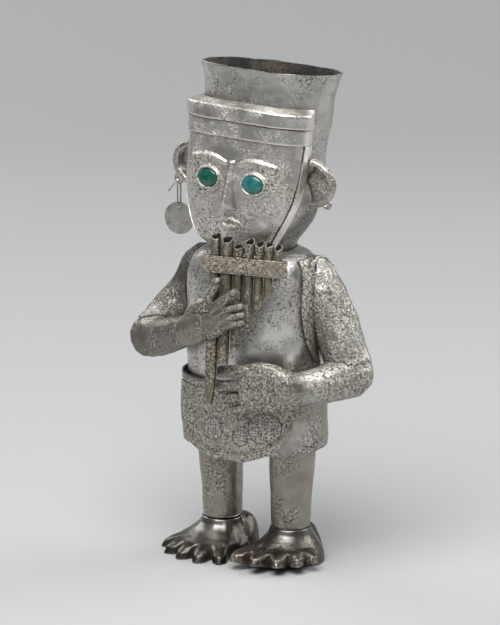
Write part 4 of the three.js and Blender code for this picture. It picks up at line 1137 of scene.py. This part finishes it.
@dataclass
class Panpipe:
    """Seven pipes and the strip round them, in a frame that leans and turns with the row.

    Lengths are millimetres along the pipes, from the mouth end of the longest one. A bite is the pipe it is in, its
    height from the mouth, its place round the pipe in degrees and its width.
    """

    foot: Triple = (-1.4, -25.4, 144.9)
    lean: float = -6.5
    swing: float = 6.2
    radii: tuple[float, ...] = (2.3, 2.4, 2.1, 2.1, 1.9, 1.8, 1.6)
    tops: tuple[float, ...] = (0, -0.6, -3.8, -0.9, -1.5, -1.8, -2.2)
    ends: tuple[float, ...] = (-71, -53.2, -47, -38.3, -29.3, -24, -17.7)
    space: float = 0.5
    wall: float = 0.5
    taper: float = 0.9
    segments: int = 32
    row_height: float = 0.55
    worn_depth: float = 1.9
    worn_length: float = 5.0
    mouth: float = 0.9
    binding_top: float = -9.0
    binding_height: float = 6.8
    bites: tuple[tuple[int, float, float, float], ...] = (
        (1, -1.2, 250, 1.1), (3, -2.2, 235, 1.3), (3, -5.6, 262, 0.8), (4, -2.0, 300, 1.2), (4, -5.4, 265, 0.7),
        (5, -4.6, 262, 0.7), (5, -1.2, 240, 1.0), (6, -2.4, 280, 0.9), (2, -4.6, 280, 0.9),
    )

    @property
    def origin(self) -> Triple:
        """Where the row's frame starts, in metres."""
        return tuple(value * MM for value in self.foot)

    @property
    def turn(self) -> Triple:
        """How the row's frame is turned, in radians."""
        return (math.radians(self.lean), 0.0, math.radians(self.swing))

    @property
    def place(self) -> Matrix:
        """What takes a point from the row's frame, in millimetres, to its place in metres."""
        return Matrix.Translation(self.origin) @ Euler(self.turn).to_matrix().to_4x4() @ Matrix.Scale(MM, 4)

    def across(self, index: int) -> float:
        """How far a pipe stands along the row from the first one."""
        pairs = zip(self.radii[:index], self.radii[1:index + 1])
        return sum(a + b + self.space for a, b in pairs)

    def worn_away(self, spot: Vector, index: int) -> float:
        """How much lower a point near a pipe's mouth stands now, most in front.

        Args:
            spot: the point, from the pipe's own axis, in the row's frame.
            index: which pipe.

        Returns:
            The distance in millimetres.
        """
        angle = math.atan2(spot.y, spot.x)
        torn_by = 0.22 * math.sin(2 * angle + index * 1.7) + 0.16 * math.sin(5 * angle + index * 2.9)
        in_front = self.worn_depth * (1 - math.sin(angle)) / 2 * (1 + 0.3 * math.sin(index * 2.3))
        lower = 0.3 - torn_by + in_front
        return lower * min(max(1 - (self.tops[index] - spot.z) / self.worn_length, 0), 1)

    def bitten(self, shape: BMesh, index: int) -> list[BMFace]:
        """The faces of a pipe that its bites have taken.

        Args:
            shape: the pipe, on its own axis.
            index: which pipe.

        Returns:
            The faces.
        """
        torn = []
        for pipe, height, angle, size in self.bites:
            if pipe != index:
                continue
            turn = math.radians(angle)
            side = Vector((math.cos(turn), math.sin(turn), 0)) * self.radii[index]
            spot = side + Vector((0, 0, self.tops[index] + height))
            torn += [face for face in shape.faces if (face.calc_center_median() - spot).length < size * 0.5]
        return list(set(torn))

    def tube(self, index: int) -> BMesh:
        """The surface of a tapered tube with a torn mouth and small holes, closed at its lower end.

        Args:
            index: which pipe, from 0.

        Returns:
            The tube in the row's frame.
        """
        shape = bmesh.new()
        radius, top, end = self.radii[index], self.tops[index], self.ends[index]
        bmesh.ops.create_circle(shape, segments=self.segments, radius=radius * self.taper - self.wall / 2)
        bmesh.ops.translate(shape, vec=(0, 0, end), verts=shape.verts)
        loop = list(shape.edges)
        bmesh.ops.contextual_create(shape, geom=loop)
        rows = math.ceil((top - end) / self.row_height)
        for _ in range(rows):
            made = bmesh.ops.extrude_edge_only(shape, edges=loop)["geom"]
            loop = [item for item in made if isinstance(item, BMEdge) and item.is_boundary]
            verts = [item for item in made if isinstance(item, BMVert)]
            bmesh.ops.translate(shape, vec=(0, 0, (top - end) / rows), verts=verts)
        for vert in shape.verts:
            share = (vert.co.z - end) / (top - end)
            grow = 1 + (1 / self.taper - 1) * share
            vert.co.x *= grow
            vert.co.y *= grow
        bmesh.ops.delete(shape, geom=self.bitten(shape, index), context="FACES")
        ragged = [vert for vert in shape.verts if vert.is_boundary and vert.co.z < top - self.mouth]
        bmesh.ops.smooth_vert(shape, verts=ragged, factor=0.6, use_axis_x=True, use_axis_y=True, use_axis_z=True)
        for vert in shape.verts:
            vert.co.z -= self.worn_away(vert.co, index)
        bmesh.ops.recalc_face_normals(shape, faces=shape.faces)
        bmesh.ops.translate(shape, vec=(self.across(index), 0, 0), verts=shape.verts)
        return shape

    def rolled(self, bench: Workbench) -> Object:
        """The longest pipe, rounded from its CAD node, with its mouth worn like the others.

        Args:
            bench: where it is made.

        Returns:
            The pipe.
        """
        piece = object_from(bench.sharpened(bench.merged_copy("pipe_1"), 50, 0.8), "pipe_1_metal")
        piece = bench.dented(bench.subdivided(piece, 2), 0.1, 0.04)
        back = self.place.inverted()
        for vert in piece.data.vertices:
            spot = back @ vert.co
            spot.z -= self.worn_away(spot, 0)
            vert.co = self.place @ spot
        return piece

    def build(self, bench: Workbench) -> None:
        """Makes the pipes and the binding.

        Args:
            bench: where they are made.
        """
        # Every pipe's inside gets painted shade.
        bench.finish(self.rolled(bench), PIPE, FIGURE, "pipe_1", bowl=True)
        for index in range(1, len(self.radii)):
            node = f"pipe_{index + 1}"
            shape = self.tube(index)
            bmesh.ops.transform(shape, matrix=self.place, verts=shape.verts)
            piece = bench.dented(object_from(shape, f"{node}_metal"), 0.06, 0.03)
            piece = bench.baked(piece, "SOLIDIFY", thickness=self.wall * MM, offset=0.0)
            bench.finish(piece, PIPE, FIGURE, node, bowl=True)
        bench.sheet("pipe_binding", BINDING, deep=0.15)


@dataclass
class Arms:
    """Sleeves, forearms and hands.

    A lap is a raised path. A wrist is its centre, in millimetres, and the way from hand to forearm.
    """

    FINISHES = {"left": (LEFT_ARM, LEFT_HAND), "right": (SHADED_RIGHT_ARM, RIGHT_HAND)}
    LAPS = {
        "left": (
            ((29.8, -1.6, 129.9), (29.2, 2.2, 132.0), (29.4, 6.4, 132.4), (31.4, 9.2, 131.2), (34.0, 9.6, 128.2)),
        ),
        "right": (),
    }
    WRISTS = {
        "left": ((31.8, -16.7, 81.3), (0.63, 0.774, 0.056)),
        "right": ((-14.8, -26.1, 102.65), (-0.787, 0.52, -0.333)),
    }

    bench: Workbench

    def build(self) -> None:
        """Makes both arms."""
        for side, (arm, hand) in self.FINISHES.items():
            self.bench.wrought(f"sleeve_{side}", arm, rounds=4, deep=0.35, fine=0.1, beads=self.LAPS[side])
            wrist, way = self.WRISTS[side]
            back = tuple(-value for value in way)
            self.bench.wrought(f"forearm_{side}", arm, rounds=4, deep=0.25, fine=0.08, end=(wrist, back, 0.4, 0.2))
            self.bench.wrought(f"hand_{side}", hand, voxel=0.3, rounds=3, end=(wrist, way, 0.35, 0.5))


@dataclass
class Stand:
    """Legs, feet and heel cups."""

    bench: Workbench

    def build(self) -> None:
        """Makes both legs."""
        for side in SIDES:
            self.bench.sheet(f"leg_{side}", LEG, deep=0.22)
            self.bench.wrought(f"foot_{side}", FOOT)
            self.bench.wrought(f"heel_{side}", FOOT)


@dataclass
class Studio:
    """The camera, the soft lights and the pale sweep behind the figure.

    The aim point, the angles and the pixel are those that the photograph was taken with. A lamp is a square soft
    light: its name, azimuth, elevation, distance and side, and its power in watts.
    """

    aim: Triple = (0.0003, 0.0046, 0.105)
    azimuth: float = 29.0
    elevation: float = 14.0
    distance: float = 1.5
    aim_pixel: tuple[float, float] = (256.0, 313.0)
    frame_pixels: tuple[float, float] = (500.0, 625.0)
    pixel_size: float = 0.417
    world_level: float = 0.13
    lamps: tuple[tuple[str, float, float, float, float, float], ...] = (
        ("key", 10, 62, 1.3, 1.1, 24), ("right_edge", 135, 30, 1.4, 1.0, 10), ("left_edge", -105, 30, 1.4, 0.7, 5),
    )
    sweep_half_width: float = 3.0
    sweep_half_length: float = 1.6
    sweep_front: float = 1.2
    sweep_flat: float = 0.9
    sweep_radius: float = 0.7

    def hang(self, data: Camera | AreaLight, azimuth: float, elevation: float,
             distance: float) -> Object:
        """Sets a camera or a light where it looks at the figure.

        Args:
            data: the camera or the light.
            azimuth: its place round the figure in degrees, 0 in front of it.
            elevation: its height in degrees.
            distance: how far off it is, in metres.

        Returns:
            Its object.
        """
        turn, rise = math.radians(azimuth), math.radians(elevation)
        back = Vector((math.sin(turn) * math.cos(rise), -math.cos(turn) * math.cos(rise), math.sin(rise)))
        made = bpy.data.objects.new(data.name, data)
        made.location = Vector(self.aim) + back * distance
        made.rotation_euler = (-back).to_track_quat("-Z", "Y").to_euler()
        bpy.context.scene.collection.objects.link(made)
        return made

    def camera(self) -> None:
        """Sets the camera where the photographer stood."""
        data = bpy.data.cameras.new("camera")
        data.sensor_width = 36.0
        width, height = self.frame_pixels
        data.lens = self.distance / (self.pixel_size * MM) * data.sensor_width / height
        data.shift_x = (width / 2 - self.aim_pixel[0]) / height
        data.shift_y = (self.aim_pixel[1] - height / 2) / height
        bpy.context.scene.camera = self.hang(data, self.azimuth, self.elevation, self.distance)

    def light(self) -> None:
        """Hangs the lamps."""
        for name, azimuth, elevation, distance, side, power in self.lamps:
            data = bpy.data.lights.new(name, "AREA")
            data.size = side
            data.energy = power
            self.hang(data, azimuth, elevation, distance)

    def sweep(self) -> None:
        """Lays the pale floor, which curves up behind the figure."""
        shape = bmesh.new()
        bmesh.ops.create_grid(shape, x_segments=1, y_segments=48, size=1.0)
        flat, radius = self.sweep_flat, self.sweep_radius
        for vert in shape.verts:
            run = (vert.co.y + 1) * self.sweep_half_length - self.sweep_front
            rise = max(run - flat, 0.0)
            bend = min(rise / radius, math.pi / 2)
            over = max(rise - radius * math.pi / 2, 0.0)
            up = radius * (1 - math.cos(bend)) + over
            vert.co = Vector((vert.co.x * self.sweep_half_width, min(run, flat) + radius * math.sin(bend), up))
        turn = Matrix.Rotation(math.radians(self.azimuth), 4, "Z")
        bmesh.ops.transform(shape, matrix=turn, verts=shape.verts)
        bmesh.ops.recalc_face_normals(shape, faces=shape.faces)
        floor = object_from(shape, "sweep")
        shade_smooth(floor.data)
        material, graph, shader = new_material("pale_paper")
        graph.fill(shader, {"Base Color": (0.5, 0.5, 0.5, 1.0), "Roughness": 0.8})
        floor.data.materials.append(material)

    def build(self) -> None:
        """Sets up the studio."""
        scene = bpy.context.scene
        scene.view_settings.view_transform = "Standard"
        scene.world = bpy.data.worlds.new("studio")
        scene.world.use_nodes = True
        background = scene.world.node_tree.nodes["Background"]
        background.inputs["Color"].default_value = (0.9, 0.95, 1.0, 1.0)
        background.inputs["Strength"].default_value = self.world_level
        self.camera()
        self.sweep()
        self.light()


PANPIPE = Panpipe()


def main() -> None:
    """Sets up the studio and builds the figure."""
    logging.basicConfig(level=logging.INFO, format="%(name)s %(message)s")
    bench = Workbench()
    Studio().build()
    Head(bench).build()
    Pendant(bench).build()
    Body(bench).build()
    PANPIPE.build(bench)
    Arms(bench).build()
    Stand(bench).build()


if __name__ == "__main__":
    main()
